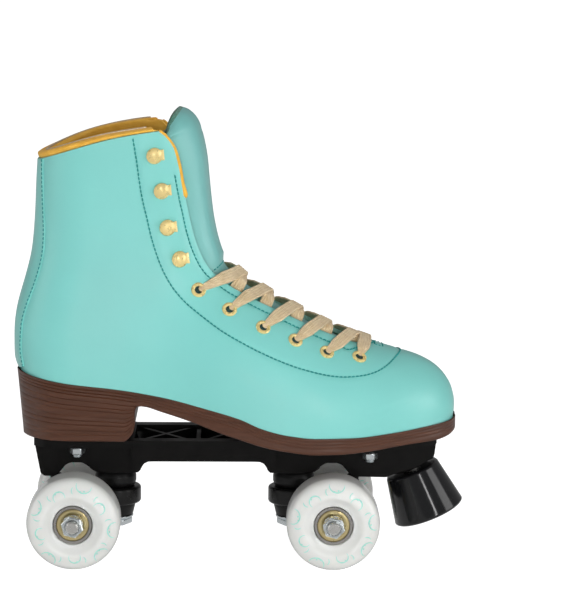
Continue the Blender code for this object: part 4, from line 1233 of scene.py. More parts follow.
def tongue_ring(reach):
    pad = padding(reach)
    half = interp(reach, TONGUE_HALF)
    rest = REACH_TOP - reach
    if rest < TONGUE_CORNER:
        corner = TONGUE_CORNER
        half = half - corner + math.sqrt(max(corner * corner - (corner - rest) ** 2, 0.0))
    thick = (2.8 + 5.6 * pad) * min(1.0, rise(rest / 4.5) + 0.10)
    arc = ARC_THROAT + min(reach, REACH_BEND)
    crest, crest_normal = crest_frame(arc)
    past = reach - REACH_BEND
    if past > 0:
        centre = sample(past, BEND_ARC, BEND_LINE)
        along = unit(sample(past + 1.0, BEND_ARC, BEND_LINE)
                     - sample(max(past - 1.0, 0), BEND_ARC, BEND_LINE))
        up = np.array((along[1], -along[0]))
        bent = ease(past / (REACH_TOP - REACH_BEND))
        lean = 0.42 * bent
        back = unit(crest_normal * lean + up * (1 - lean))
    out = []
    for j in range(TONGUE_SIDES):
        turn = 2 * math.pi * j / TONGUE_SIDES
        cos, sin = math.cos(turn), math.sin(turn)
        y = half * math.copysign(abs(cos) ** 0.9, cos)
        level = 0.5 * thick * math.copysign(abs(sin) ** (0.72 - 0.15 * pad), sin)
        puff = 0.0
        if sin > 0:
            puff = 0.9 * pad * (1 - (y / max(half, 1)) ** 2) * (1 - math.exp(-rest / 8.0))
        below = tongue_inset(reach, y) + thick * 0.5 - level - puff
        surface, normal = over(arc, y, 0.0)
        if past <= 0:
            out.append(surface - normal * below)
            continue
        # the boot's cross-section at the bend, carried along the free top
        depth = ((surface[0] - crest[0]) * crest_normal[0]
                 + (surface[2] - crest[1]) * crest_normal[1])
        depth *= 1 + (0.32 if y > 0 else 0.10) * bent
        facing = normal[0] * crest_normal[0] + normal[2] * crest_normal[1]
        height = 0.35 - facing * below
        x, z = centre + back * depth + up * height
        out.append((x, y - normal[1] * below, z))
    return out


tongue_reaches = (spaced(1.0, REACH_TOP - 6, 84 if FINE else 56)
                  + [REACH_TOP - k for k in (5.0, 4.0, 3.0, 2.0, 1.2, 0.6, 0.2, 0.0)])
tongue = loft([tongue_ring(reach) for reach in tongue_reaches])
for face in tongue.polygons:
    # glossy panel outside, knitted backing and rim: by the place round each ring
    js = [v % TONGUE_SIDES for v in face.vertices]
    if max(js) - min(js) > TONGUE_SIDES / 2:
        js = [j + TONGUE_SIDES if j < TONGUE_SIDES / 2 else j for j in js]
    turn = sum(js) / len(js) / TONGUE_SIDES * 2 * math.pi
    reach = tongue_reaches[min(face.vertices) // TONGUE_SIDES]
    panel = (len(face.vertices) <= 4 and math.sin(turn) > 0.0 and abs(math.cos(turn)) < 0.91
             and reach < REACH_TOP - 2.4)
    face.material_index = 0 if panel else 1
piece("tongue_padded", tongue, [TONGUE_VINYL, KNIT], replaces="tongue",
      angle=0)
TONGUE_TREE = tree_of(tongue)


def on_tongue(reach, y):
    """Point of the tongue's front and its normal, below the bend."""
    start, outwards = over(ARC_THROAT + reach, y, 6.0)
    hit = TONGUE_TREE.ray_cast(world(*start), -Vector(outwards), 0.03)
    if hit[0] is None:
        hit = TONGUE_TREE.find_nearest(world(*start))
    normal = hit[1] if hit[1].x * 0.5 + hit[1].z > -0.5 else -hit[1]
    return np.array(design(hit[0])), np.array(normal)


# one line across where the padding starts, and one along each edge
pad_line = REACH_PAD + 1.0
tongue_lines = [[on_tongue(pad_line, -24 + 48 * k / 119) for k in range(120)]]
for side in (-1, 1):
    tongue_lines.append([on_tongue(reach, side * (interp(reach, TONGUE_HALF) - 3.6))
                         for reach in spaced(pad_line + 40, REACH_TOP - 27.0, 80)])
stitches("stitch_tongue", tongue_lines)

# ------------------------------------------------------------------- laces
# (x, z), from the toe upwards
EYELETS = [(89.9, 120.9), (70.9, 124.5), (52.6, 131.7), (33.9, 139.5), (14.5, 149.4),
           (-3.4, 160.3)]
HOOKS = [(-14.8, 178.2), (-21.7, 196.8), (-25.0, 218.2), (-29.0, 238.6)]
LACE_THICK = 1.35
LACE_NARROW, LACE_SPREAD = 3.3, 4.5   # width at an eyelet, and what it gains clear of it
LACE_CUP = 0.30                  # how much it curls at an eyelet
LACE_SUNK = -1.2                 # height at an eyelet
LACE_POINTS = 60
LACE_STEPS = 30                  # across its face


def band(path, widths, cups):
    """Flat ribbed band along (point, normal): verts, faces and (arc, place) UVs."""
    n = len(path)
    centres = np.array([point for point, _n in path])
    for _ in range(2):                 # smooth the centre line a little
        centres[1:-1] = 0.25 * centres[:-2] + 0.5 * centres[1:-1] + 0.25 * centres[2:]
    arc = arc_lengths(centres)
    rings, uvs = [], []
    for i, (centre, width, cup) in enumerate(zip(centres, widths, cups)):
        normal = path[i][1]
        along = unit(centres[min(i + 1, n - 1)] - centres[max(i - 1, 0)])
        across = unit(np.cross(normal, along))
        up = np.cross(along, across)
        if up @ normal < 0:
            up, across = -up, -across
        thick = LACE_THICK * (1 + 0.25 * max(0, 1 - width / 7.0))
        top, bottom = [], []
        for j in range(LACE_STEPS + 1):
            f = -1 + 2 * j / LACE_STEPS
            rib = 0.26 * (abs(math.sin(2.5 * math.pi * (f + 1))) - 0.6)
            half = thick * 0.5 * (0.35 + 0.65 * math.sqrt(max(1 - abs(f) ** 8, 0.0)))
            sag = -cup * (f * f) * width * 0.5
            level = centre + across * (f * width / 2)
            top.append(level + up * (sag + half + rib))
            bottom.append(level + up * (sag - half))
        ring = top + bottom[::-1]
        rings.append(ring)
        uvs += [(arc[i], j) for j in range(len(ring))]
    return loft_raw(rings), uvs


def lace_across(k, side):
    """From eyelet k on one side, across and toe-ward, under the other facing.
    Where they cross, the lace that starts on the right lies on top."""
    eye, eye_normal = spot(*EYELETS[k], side)
    far = spot(*EYELETS[k - 1], -side)[0]
    arc0, y0 = crest_arc(eye[0], eye[2]), abs(eye[1])
    arc1 = crest_arc(far[0], far[2])
    arc1 = arc1 + 0.16 * (arc0 - arc1)
    far_half = throat_half(arc1)
    span = y0 + far_half + 6.0
    far_edge = (y0 + far_half) / span
    near_edge = (y0 - throat_half(arc0)) / span
    crossing = 1.75 if side == -1 else 0.25
    path, widths, cups = [], [], []
    for i in range(LACE_POINTS):
        f = i / (LACE_POINTS - 1)
        lift = LACE_SUNK + 2.9 * ease(f / 0.09)
        lift += 0.9 * gauss(f - near_edge * 0.9, 0.07)
        lift += crossing * gauss(f - 0.47, 0.14)
        dive = ease((f - (far_edge - 0.17)) / 0.18)
        lift = lift * (1 - dive) + (-5.8) * dive
        arc = arc0 + (arc1 - arc0) * (1 - (1 - f) ** 2.0)
        point, normal = over(arc, side * (y0 - span * f), lift)
        if f < 0.12:
            q = ease(f / 0.12)
            point = point * q + (eye + eye_normal * lift) * (1 - q)
            normal = unit(normal * q + eye_normal * (1 - q))
        path.append((point, normal))
        widths.append(LACE_NARROW + LACE_SPREAD * ease((f - 0.01) / 0.15))
        cups.append(LACE_CUP * (1 - ease((f - 0.02) / 0.17)))
    return band(path, widths, cups)


def lace_bar():
    """The outside bar between the two toe-most eyelets."""
    start, end = (spot(*EYELETS[0], side)[0] for side in (-1, 1))
    arc0 = crest_arc(start[0], start[2])
    path, widths, cups = [], [], []
    for i in range(LACE_POINTS):
        f = i / (LACE_POINTS - 1)
        near = min(f, 1 - f)
        lift = LACE_SUNK + 3.2 * ease(near / 0.10) + 0.5 * math.sin(math.pi * f)
        arc = arc0 - 1.2 * math.sin(math.pi * f) ** 0.8
        path.append(over(arc, start[1] + (end[1] - start[1]) * f, lift))
        widths.append(LACE_NARROW + LACE_SPREAD * ease((near - 0.01) / 0.16))
        cups.append(LACE_CUP * (1 - ease((near - 0.02) / 0.17)))
    return band(path, widths, cups)


def laces():
    bands = [lace_across(k, side) for k in range(1, 6) for side in (1, -1)] + [lace_bar()]
    uvs = [uv for _part, band_uvs in bands for uv in band_uvs]
    mesh = joined([part for part, _uvs in bands])
    layer = mesh.uv_layers.new(name="lace")
    for loop in mesh.loops:
        layer.data[loop.index].uv = uvs[loop.vertex_index]
    piece("laces_woven", mesh, LACE, replaces="laces", angle=50)


laces()

# ------------------------------------------------------ eyelets and hooks
EYE_IN, EYE_OUT, EYE_HEIGHT = 2.25, 4.35, 0.95
# (radius, height) of the hook's domed stud on its short post
STUD = [(0, -0.4), (1.7, -0.4), (1.7, 1.2), (2.2, 1.35), (4.2, 1.45), (4.62, 1.65),
        (4.72, 1.95), (4.6, 2.25), (4.2, 2.55), (3.5, 2.95), (2.6, 3.3), (1.6, 3.52),
        (0.7, 3.6), (0, 3.62)]
# (distance towards the toe, half width, bottom, top) of the hook's flat tab
TAB = [(1.5, 2.6, 1.5, 2.35), (4.4, 3.0, 1.5, 2.35), (5.35, 3.15, 1.55, 2.3),
       (5.65, 2.95, 1.75, 2.1)]


def eyelet_profile():
    """Half-round ring section from the hole's wall over the top."""
    middle, half = (EYE_IN + EYE_OUT) / 2, (EYE_OUT - EYE_IN) / 2
    points = [(EYE_IN, -1.2)]
    for k in range(9):
        t = math.pi * (1 - k / 8)
        points.append((middle + half * math.cos(t), 0.15 + EYE_HEIGHT * math.sin(t) ** 0.8))
    return points + [(EYE_OUT, -0.5)]


def hook(x, z, side):
    """Verts and faces of one lace hook."""
    centre, normal = spot(x, z, side)
    normal = unit(normal)
    toe = spot(x + 3.0, z + 0.4, side)[0] - centre
    toe = unit(toe - normal * (toe @ normal))
    across = np.cross(normal, toe)
    tab = loft([[centre + toe * out + across * y + normal * height
                 for y, height in ((-half, low), (half, low), (half, high), (-half, high))]
                for out, half, low, high in TAB])
    mesh = boolean(turned(STUD, centre, normal, 48), [tab], "UNION")
    return [design(v.co) for v in mesh.vertices], [tuple(f.vertices) for f in mesh.polygons]


for side, word in SIDES:
    spots = [spot(x, z, side) for x, z in EYELETS]
    piece("eyelet_rings_%s" % word,
          joined([turned_raw(eyelet_profile(), *place, count=40, phase=0.0) for place in spots]),
          GOLD, replaces="eyelets_%s" % word, angle=60)
    # dark discs in the eyelets: painted shade where the holes show shadow
    piece("eyelet_holes_%s" % word,
          joined([turned_raw(bar(2.4, -0.6, 0.12), *place, count=24, phase=0.0)
                  for place in spots]),
          HOLE_SHADE, angle=60)
    piece("lace_hooks_%s" % word, joined([hook(x, z, side) for x, z in HOOKS]), GOLD,
          replaces="hooks_%s" % word, angle=35, bevel=0.18)

# ----------------------------------------------------------------- outsole
# (x, z) along the underside, with the heel block's front face near x -40
SOLE_BOTTOM = [(-120, 71.3), (-46.5, 71.3), (-43.5, 73.6), (-41.2, 77.0), (-40.2, 81.0),
               (-39.8, 90.0), (-38.6, 92.6), (-36.0, 93.0), (-24.0, 89.9), (-6.0, 84.6),
               (12.0, 78.4), (21.0, 75.8), (33.0, 72.2), (49.0, 69.1), (58.0, 67.9),
               (65.0, 67.4), (76.0, 67.4), (85.0, 67.8), (97.0, 68.8), (110.0, 70.4),
               (122.0, 71.5), (136.0, 72.2), (143.0, 73.6), (148.4, 76.0)]
SOLE_BACK = -110.6
SOLE_LIP = 0.9                   # height of the lip above the upper's edge
SOLE_XS = ([-110.4, -110.1, -109.6, -108.9, -107.8, -106.4, -104.6, -102.5, -100.0, -97.0,
            -93.5, -90.0, -86.0]
           + spaced(-81.0, -49.0, 9)
           + [-47.2, -46.5, -45.2, -44.2, -43.5, -42.6, -41.9, -41.2, -40.7, -40.3, -40.1,
              -39.95, -39.8, -39.5, -39.1, -38.6, -37.8, -36.8, -36.0]
           + spaced(-33.0, 120.0, 52) + spaced(122.0, 138.0, 9)
           + [139.5, 141.0, 142.5, 143.8, 144.9, 145.8, 146.6, 147.2, 147.7, 148.1, 148.3])


def sole_profile(height):
    """(inset, depth below the top) down the side wall, with its grooves: three
    near the top, and eight finer ones where the sole is high."""
    deep = ease((height - 11.0) / 9.0)
    thin = min(1.0, (height - 1.8) / 7.2)
    grooves = [(depth * thin, 0.50 * min(1.0, 0.6 + 0.4 * deep)) for depth in (1.9, 3.7, 5.5)]
    start, end = max(7.6 * thin, 5.5 * thin + 1.0), height - 2.0
    grooves += [(start + (end - start) * (g + 0.35 + 0.12 * math.sin(2.3 * g)) / 8.0,
                 (0.31 + 0.08 * math.sin(1.7 * g)) * deep) for g in range(8)]
    profile = [(0.55, 0.0), (0.12, 0.18), (0.0, 0.6)]
    for depth, inset in grooves:
        if depth > 7:
            half = 0.30 if deep > 0.5 else 0.05 + 0.2 * deep
        else:
            half = 0.42 * (0.5 + 0.5 * thin)
        profile += [(0.0, depth - half), (inset * 0.8, depth - half * 0.35), (inset, depth),
                    (inset * 0.8, depth + half * 0.35), (0.0, depth + half)]
    profile += [(0.0, height - 1.0), (0.25, height - 0.35), (0.9, height)]
    last, rising = -1.0, []            # depths must keep rising
    for inset, depth in profile:
        last = max(depth, last + 0.012)
        rising.append((inset, min(last, height)))
    return rising


def sole_ring(x):
    heel = ease((-85.0 - x) / 25.0)
    rounding = max(heel_round(x, SOLE_BACK), 0.08)
    right, left = (max(plan_width(x - 1.3, side) + 1.0, 3.0) * rounding for side in (-1, 1))
    edge = interp(x, SOLE_LINE)
    top = edge + SOLE_LIP
    height = top - interp(x, SOLE_BOTTOM)
    narrow = 0.08 * ease((-35.0 - x) / 10.0)
    profile = sole_profile(height)

    def wall(width, side):
        points = []
        for inset, depth in profile:
            f = 0.0
            if height > 9:
                f = min(max((depth - 7.0) / max(height - 8.2, 1.0), 0.0), 1.0)
            half = width * (1.0 - narrow * f) - inset * min(1.0, width / 12.0)
            ahead = 3.4 * heel * f + 0.7 * heel * min(depth / 7.0, 1.0) * (1 - f)
            points.append((x + ahead, side * max(half, 0.4), top - depth))
        return points

    # the top dips inside the lip, below the upper's edge
    floor = edge - 1.2 * ease((min(right, left) - 5.0) / 8.0)
    return ([(x, -max(right - 1.7, 0.2), floor)] + wall(right, -1) + wall(left, 1)[::-1]
            + [(x, max(left - 1.7, 0.2), floor)])


piece("outsole_moulded", loft([sole_ring(x) for x in SOLE_XS]), SOLE, replaces="outsole",
      angle=48)

# ----------------------------------------------------------------- chassis
# Truck places are given for the rear end; the front end mirrors them in x.
ENDS = (("rear", 1), ("front", -1))
WHEELBASE, AXLE_Z, WHEEL_Y = 150.0, 27.0, 42.0
KING_X = 52.8                    # kingpins from the middle
RING_Z = 33.7                    # middle of the hanger's ring
TOWER_Z = 48.2                   # bottom of the kingpin bosses
PLATE_TOP = 71.0
PIVOT_X, PIVOT_Z = -91.0, 55.0
PIVOT_DIR = (-0.2, 0.98)         # (x, z)
BOLTS = (("rear", -74.0, 66.6), ("front", 97.0, 64.2))   # word, x, flange's underside
BOLT_Y = 23.4
STOP_TOP = np.array((122.5, 0.0, 50.5))
STOP_BOTTOM = np.array((133.7, 0.0, 23.5))
STOP_DIR = unit(STOP_TOP - STOP_BOTTOM)
STOP_LENGTH = float(np.linalg.norm(STOP_TOP - STOP_BOTTOM))

# (x, y, corner radius)
HEEL_FLANGE = [(-99.6, -21.0, 3), (-92.0, -28.0, 8), (-41.0, -28.0, 0), (-41.0, 28.0, 0),
               (-92.0, 28.0, 8), (-99.6, 21.0, 3)]
# (x, half width, bottom, top)
FRONT_FLANGE = [(17.0, 28.0, 66.6, 71.0), (33.0, 28.0, 65.8, 70.3), (46.0, 28.0, 64.3, 68.9),
                (57.0, 28.0, 63.2, 67.6), (66.0, 28.0, 62.6, 67.0), (76.0, 28.0, 62.6, 67.0),
                (97.0, 27.6, 64.2, 68.4), (110.0, 26.4, 65.7, 70.0), (122.0, 24.2, 66.7, 71.1),
                (129.0, 22.0, 67.15, 71.5), (133.5, 19.4, 67.4, 71.7), (136.0, 17.0, 67.55, 71.8),
                (136.6, 15.4, 67.6, 71.8)]
# (x, z, corner radius) of the boxes that hold the trucks
REAR_BOX = [(-99.4, 67.6, 0), (-96.0, 49.6, 2), (-94.0, 47.8, 3), (-87.2, 47.8, 4),
            (-84.6, 50.4, 3), (-81.0, 54.8, 5), (-78.0, 55.9, 5), (-71.5, 55.9, 5),
            (-67.6, 53.4, 4), (-64.0, 50.6, 3), (-58.0, 50.0, 0), (-39.4, 50.0, 3),
            (-37.9, 53.0, 4), (-37.6, 56.0, 4), (-38.6, 60.6, 3), (-41.6, 67.6, 0)]
FRONT_BOX = [(30.0, 67.6, 0), (31.0, 58.6, 3), (36.6, 56.6, 4), (37.6, 54.0, 4),
             (40.0, 50.0, 3), (58.0, 50.0, 0), (64.0, 50.6, 3), (67.6, 53.4, 4),
             (71.5, 55.9, 5), (78.0, 55.9, 5), (81.0, 54.8, 5), (84.6, 50.4, 3),
             (87.2, 47.8, 4), (107.0, 47.4, 4), (134.6, 58.8, 2.5), (135.4, 62.0, 2),
             (136.2, 69.0, 0), (122.0, 68.0, 0), (97.0, 65.6, 0), (76.0, 64.4, 0),
             (57.0, 64.8, 0)]
# (x, z) of the side rails' flat top and of the web under it
RAIL_TOP = [(-43.4, 66.75), (33.3, 66.75), (33.3, 70.9 - 1.2), (17.3, 70.9), (-43.4, 70.9)]
WEB_FOOT = [(-42.0, 51.6), (-38.6, 51.8), (-37.2, 53.1), (-36.4, 55.0), (-34.9, 57.1),
            (-32.6, 58.3 - 0.12), (-29.6, 58.3)]
RAIL_WEB = (WEB_FOOT + [(-x, z) for x, z in WEB_FOOT[::-1]]
            + [(42.0, 67.4 - 1.2), (17.3, 67.4), (-42.0, 67.4)])
# (radius, z)
KING_BOSS = [(0, 63.0), (15.6, 63.0), (16.4, 58.0), (16.2, 51.2), (15.6, 49.4),
             (14.0, TOWER_Z), (0, TOWER_Z)]
STOP_BOSS = [(0, 0.35), (12.2, 0.35), (12.9, 1.2), (13.2, 9.0), (0, 9.0)]


def rib(x0, y0, x1, y1, z0, z1, thick=2.4):
    dx, dy = x1 - x0, y1 - y0
    length = math.hypot(dx, dy)
    ox, oy = -dy / length * thick / 2, dx / length * thick / 2
    return prism_z([(x0 - ox, y0 - oy), (x1 - ox, y1 - oy), (x1 + ox, y1 + oy),
                    (x0 + ox, y0 + oy)], z0, z1)


def chassis():
    added = [beam_x(FRONT_FLANGE), prism_y(fillet(REAR_BOX), -18.2, 18.2),
             prism_y(fillet(FRONT_BOX), -17.2, 17.2)]
    for sign in (-1, 1):
        added.append(turned(KING_BOSS, (sign * KING_X, 0, 0), UPRIGHT, 56))
    added.append(turned(STOP_BOSS, STOP_TOP, STOP_DIR, 48))
    for side in (-1, 1):
        added.append(prism_y(RAIL_TOP, *sorted((side * 19.6, side * 27.9))))
        added.append(prism_y(RAIL_WEB, *sorted((side * 22.6, side * 26.0))))
    for x0, x1 in ((-42.0, -3.6), (-3.6, 28.0)):       # two crosses between the rails
        added.append(rib(x0, -24, x1, 24, 60.0, 69.6))
        added.append(rib(x0, 24, x1, -24, 60.0, 69.6))
    added.append(rib(-3.6, -24, -3.6, 24, 60.4, 69.2))
    holes = []
    for _word, end in ENDS:
        holes.append(turned([(0, 40), (4.9, 40), (4.9, 62.0), (9.6, 62.0), (9.6, 80), (0, 80)],
                            (end * -KING_X, 0, 0), UPRIGHT, 32))
        holes.append(turned(bar(5.4, -14, 6.4), (end * PIVOT_X, 0, PIVOT_Z),
                            (end * PIVOT_DIR[0], 0, PIVOT_DIR[1]), 28))
    for _word, x, _z in BOLTS:
        for side in (-1, 1):
            holes.append(turned(bar(2.9, 58, 80), (x, side * BOLT_Y, 0), UPRIGHT, 24))
    holes.append(turned(bar(5.5, -8, 17.0), STOP_TOP, STOP_DIR, 28))
    plate = boolean(prism_z(fillet(HEEL_FLANGE, 5), 66.6, PLATE_TOP), added, "UNION")
    piece("chassis_moulded", boolean(plate, holes, "DIFFERENCE"), NYLON,
          replaces="chassis_plate", angle=35,
          bevel=0.7, segments=3, bevel_from=42)


chassis()

# ------------------------------------------------------------------ trucks
# Profiles are (radius, height); with a third column, the corner's radius.
HOUSING = mirrored([(0, -24.4), (5.4, -24.4), (5.8, -24.0), (5.8, -20.5), (6.6, -16.0),
                    (7.5, -11.0), (7.6, -9.0)])
HANGER_RING = fillet([(0, RING_Z - 5.0, 0), (15.0, RING_Z - 5.0, 1.6),
                      (15.0, RING_Z + 5.0, 1.6), (0, RING_Z + 5.0, 0)], 5)
HANGER_WEB = [(-75.0, 9.0, 24.0, 33.4), (-67.0, 10.0, 29.3, 36.0), (-58.0, 12.0, 29.3, 38.0)]
PIVOT_PIN = [(0, -13.0), (3.0, -13.0), (3.0, 1.6), (2.6, 2.6), (1.6, 3.3), (0, 3.5)]
KINGPIN = fillet([(0, 67.6, 0), (7.2, 67.6, 0.6), (8.2, 66.6, 0.6), (8.2, 62.4, 0.3),
                  (4.2, 62.4, 0.3), (4.2, 14.9, 0.4), (3.5, 14.0, 0.4), (0, 14.0, 0)], 3)
KING_NUT = [(5.0, 19.6), (8.9, 19.6), (9.8, 18.7), (9.8, 16.2), (9.2, 15.4), (5.0, 15.4)]
WASHER = fillet([(4.9, 21.0, 0), (10.4, 21.0, 0.35), (10.4, 19.9, 0.35), (4.9, 19.9, 0)], 3)
CUSHION_TOP_Z, CUSHION_BOTTOM_Z = 47.8, 21.3      # where the cushions are held
TOP_CUSHION = fillet([(4.9, CUSHION_TOP_Z, 0), (11.2, CUSHION_TOP_Z, 1.0), (12.2, 45.0, 2.0),
                      (12.2, 41.8, 2.0), (11.2, 39.0, 1.0), (4.9, 39.0, 0)])
LOW_CUSHION = fillet([(4.9, 28.4, 0), (11.6, 28.4, 0.5), (11.5, 26.6, 2.0),
                      (10.2, CUSHION_BOTTOM_Z, 0.8), (4.9, CUSHION_BOTTOM_Z, 0)])


def axle_profile():
    """The thread shows as fine rings at each end."""
    half = [(0, -62.4), (3.0, -62.4), (3.45, -61.9)]
    for k in range(7):
        y = -61.6 + k
        half += [(3.7, y), (3.7, y + 0.35), (3.42, y + 0.6), (3.42, y + 0.75)]
    return mirrored(half + [(3.7, -54.0)])


def hanger(end):
    axle = (end * -WHEELBASE / 2, 0, AXLE_Z)
    king = (end * -KING_X, 0, 0)
    pivot = (end * PIVOT_X, 0, PIVOT_Z)
    pivot_dir = (end * PIVOT_DIR[0], 0, PIVOT_DIR[1])
    ring = turned(HANGER_RING, king, UPRIGHT, 64)
    web = beam_x([(end * x, *rest) for x, *rest in HANGER_WEB])
    arm_start = np.array((end * -77.0, 0.0, 30.0))
    reach = np.array(pivot, float) - np.array(pivot_dir) * 12.2 - arm_start
    length = float(np.linalg.norm(reach))
    arm = turned([(0, -3.0), (6.0, -3.0), (6.0, 0.0), (4.2, length), (3.0, length + 1.6),
                  (0, length + 2.0)], arm_start, reach / length, 32)
    pin = turned(PIVOT_PIN, pivot, pivot_dir, 28)
    solid = boolean(turned(HOUSING, axle, ACROSS, 40), [ring, web, arm, pin], "UNION")
    return boolean(solid, [turned(bar(4.15, -40, 40), axle, ACROSS, 32, 0.2),
                           turned(bar(6.8, 0, 70), king, UPRIGHT, 40, 0.2)], "DIFFERENCE")


def truck(word, end):
    body = "%s_truck" % word
    king = (end * -KING_X, 0, 0)
    piece("truck_cast_%s" % word, hanger(end), TRUCK, body, "truck_hanger_%s" % word,
          angle=35, bevel=0.5, bevel_from=42)
    piece("axle_bar_%s" % word,
          turned(axle_profile(), (end * -WHEELBASE / 2, 0, AXLE_Z), ACROSS, 48),
          STEEL, body, "axle_%s" % word)
    piece("kingpin_bolt_%s" % word, turned(KINGPIN, king, UPRIGHT, 48), ZINC,
          replaces="kingpin_%s" % word)
    piece("kingpin_hex_%s" % word, turned(KING_NUT, king, UPRIGHT, 6), ZINC,
          replaces="kingpin_nut_%s" % word, angle=30, bevel=0.35)
    piece("washer_%s" % word, turned(WASHER, king, UPRIGHT), ZINC,
          replaces="retainer_washer_%s" % word)
    upper, lower = (piece("cushion_%s_%s" % (name, word), turned(profile, king, UPRIGHT), CUSHION,
                          replaces="cushion_%s_%s" % (cad_name, word),
                          angle=50)
                    for name, cad_name, profile in (("top", "upper", TOP_CUSHION),
                                                    ("bottom", "lower", LOW_CUSHION)))
    for cushion, held, keep in ((upper, CUSHION_TOP_Z, 0.80), (lower, CUSHION_BOTTOM_Z, 0.78)):
        tuple(world(king[0], 0, held))
        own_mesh(cushion)
    recoat("pivot_cup_%s" % word, CUSHION)


# ------------------------------------------------------------------ wheels
# (radius, distance from the wheel's middle) from the tread over the face to the hub
WHEEL_FACE = [(27.0, 7.0), (26.95, 8.4), (26.72, 9.9), (26.2, 11.4), (25.4, 12.7),
              (24.3, 13.8), (22.9, 14.7), (21.3, 15.35), (19.6, 15.8), (18.3, 15.95),
              (17.5, 15.88), (16.7, 15.6), (15.9, 15.1), (15.0, 14.45), (14.0, 13.85),
              (13.0, 13.45), (12.2, 13.3), (11.75, 13.15), (11.5, 12.8)]
WHEEL_BORE = [(11.5, 5.7), (6.6, 5.7)]
PRINT_RADIUS = 21.0              # middle of the printed ring
PRINT_SUNK, PRINT_PROUD = -0.12, 0.05
BEARING_Y, BEARING_HALF = 9.5, 3.5    # from the wheel's middle; half its width
BEARING = mirrored([(4.1, 3.2), (4.35, BEARING_HALF), (5.75, BEARING_HALF), (6.0, 3.3),
                    (6.05, 2.7), (6.5, 2.75), (7.2, 3.0), (8.6, 3.05), (9.2, 2.8),
                    (9.35, 2.65), (9.45, 3.3), (9.7, BEARING_HALF), (10.7, BEARING_HALF),
                    (11.0, 3.2)])
# (radius, height outwards)
NUT_HEX = [(3.9, 0.9), (6.6, 0.9), (6.6, 4.4), (6.0, 4.9), (3.9, 4.9)]
NUT_WASHER = [(4.2, 0.0), (5.9, 0.0), (6.1, 0.25), (6.1, 0.75), (5.9, 1.0), (4.2, 1.0)]
NUT_COLLAR = [(4.0, 4.5), (5.2, 4.5), (5.2, 5.2), (4.9, 5.75), (4.6, 5.8), (4.0, 5.5)]


def print_stroke(points, half_width, place):
    """Tapered stroke through (along, outwards) points."""
    rings = []
    last = len(points) - 1
    for q, (along, outwards) in enumerate(points):
        before, after = points[max(q - 1, 0)], points[min(q + 1, last)]
        dx, dy = after[0] - before[0], after[1] - before[1]
        length = math.hypot(dx, dy)
        taper = half_width * (0.45 + 0.55 * math.sin(math.pi * q / last))
        rings.append([place(along - dy / length * offset, outwards + dx / length * offset, lift)
                      for offset, lift in ((-taper, PRINT_SUNK), (taper, PRINT_SUNK),
                                           (taper, PRINT_PROUD), (-taper, PRINT_PROUD))])
    return loft_raw(rings)


def print_dot(along, outwards, radius, place):
    turns = [2 * math.pi * j / 12 for j in range(12)]
    return loft_raw([[place(along + radius * math.cos(t), outwards + radius * math.sin(t), lift)
                      for t in turns] for lift in (PRINT_SUNK, PRINT_PROUD)])


def wheel_print(centre, side, end):
    """Printed ring on both faces: nine groups of two arcs and two dots."""
    radii, heights = zip(*sorted(WHEEL_FACE))
    parts = []
    for facing in (1, -1):
        for k in range(9):
            start = 2 * math.pi * (k - 0.15 * end) / 9

            def place(along, outwards, lift):
                radius = PRINT_RADIUS + outwards
                t = start + along / PRINT_RADIUS
                height = float(np.interp(radius, radii, heights)) + lift
                return (centre[0] + radius * math.cos(t), centre[1] + side * facing * height,
                        centre[2] + radius * math.sin(t))

            flip = -1 if k % 2 else 1
            turns = [math.radians(-105 + 210 * q / 16) for q in range(17)]
            wide = [(3.9 * math.sin(t), (2.9 - 3.6 * math.cos(t)) * flip) for t in turns]
            small = [(5.0 + 1.3 * math.sin(t), -0.2 + 2.0 * math.cos(t))
                     for t in np.linspace(0.4, 2.7, 8)]
            parts += [print_stroke(wide, 0.36, place), print_stroke(small, 0.28, place),
                      print_dot(-1.0, 0.5, 0.50, place), print_dot(1.2, -0.1, 0.42, place)]
    return joined(parts)


def bearing(centre):
    mesh = turned(BEARING, centre)
    for face in mesh.polygons:
        x, y, z = design(face.center)
        radius = math.hypot(x - centre[0], z - centre[2])
        face.material_index = 1 if 6.2 < radius < 9.3 and abs(y - centre[1]) > 2.0 else 0
    return mesh


def wheel(word, end, side, hand):
    which = "%s_%s" % (word, hand)
    body = "%s_wheel" % which
    x = end * -WHEELBASE / 2
    centre = (x, side * WHEEL_Y, AXLE_Z)
    piece("wheel_tyre_%s" % which, turned(mirrored(WHEEL_FACE + WHEEL_BORE), centre, ACROSS, 128),
          URETHANE, body, "wheel_%s" % which, angle=42)
    piece("wheel_print_%s" % which, wheel_print(centre, side, end), PRINT, body,
          angle=0)
    for offset, tag in ((BEARING_Y, "outer"), (-BEARING_Y, "inner")):
        piece("ball_bearing_%s_%s" % (which, tag),
              bearing((x, side * (WHEEL_Y + offset), AXLE_Z)), [RACE, SHIELD], body,
              "bearing_%s_%s" % (which, tag), angle=30)
    recoat("bearing_spacer_%s" % which, STEEL)
    nut_at = (x, side * (WHEEL_Y + BEARING_Y + BEARING_HALF + 0.3), AXLE_Z)
    hexagon, washer, collar = (
        turned([(radius, height * side) for radius, height in profile], nut_at, ACROSS, *rest)
        for profile, *rest in ((NUT_HEX, 6, 0.25), (NUT_WASHER, 48), (NUT_COLLAR, 48)))
    piece("axle_hex_%s" % which, boolean(hexagon, [washer, collar], "UNION"), ZINC,
          "%s_truck" % word, "axle_nut_%s" % which, angle=30, bevel=0.28, bevel_from=35)


for word, end in ENDS:
    truck(word, end)
    for side, hand in SIDES:
        wheel(word, end, side, hand)


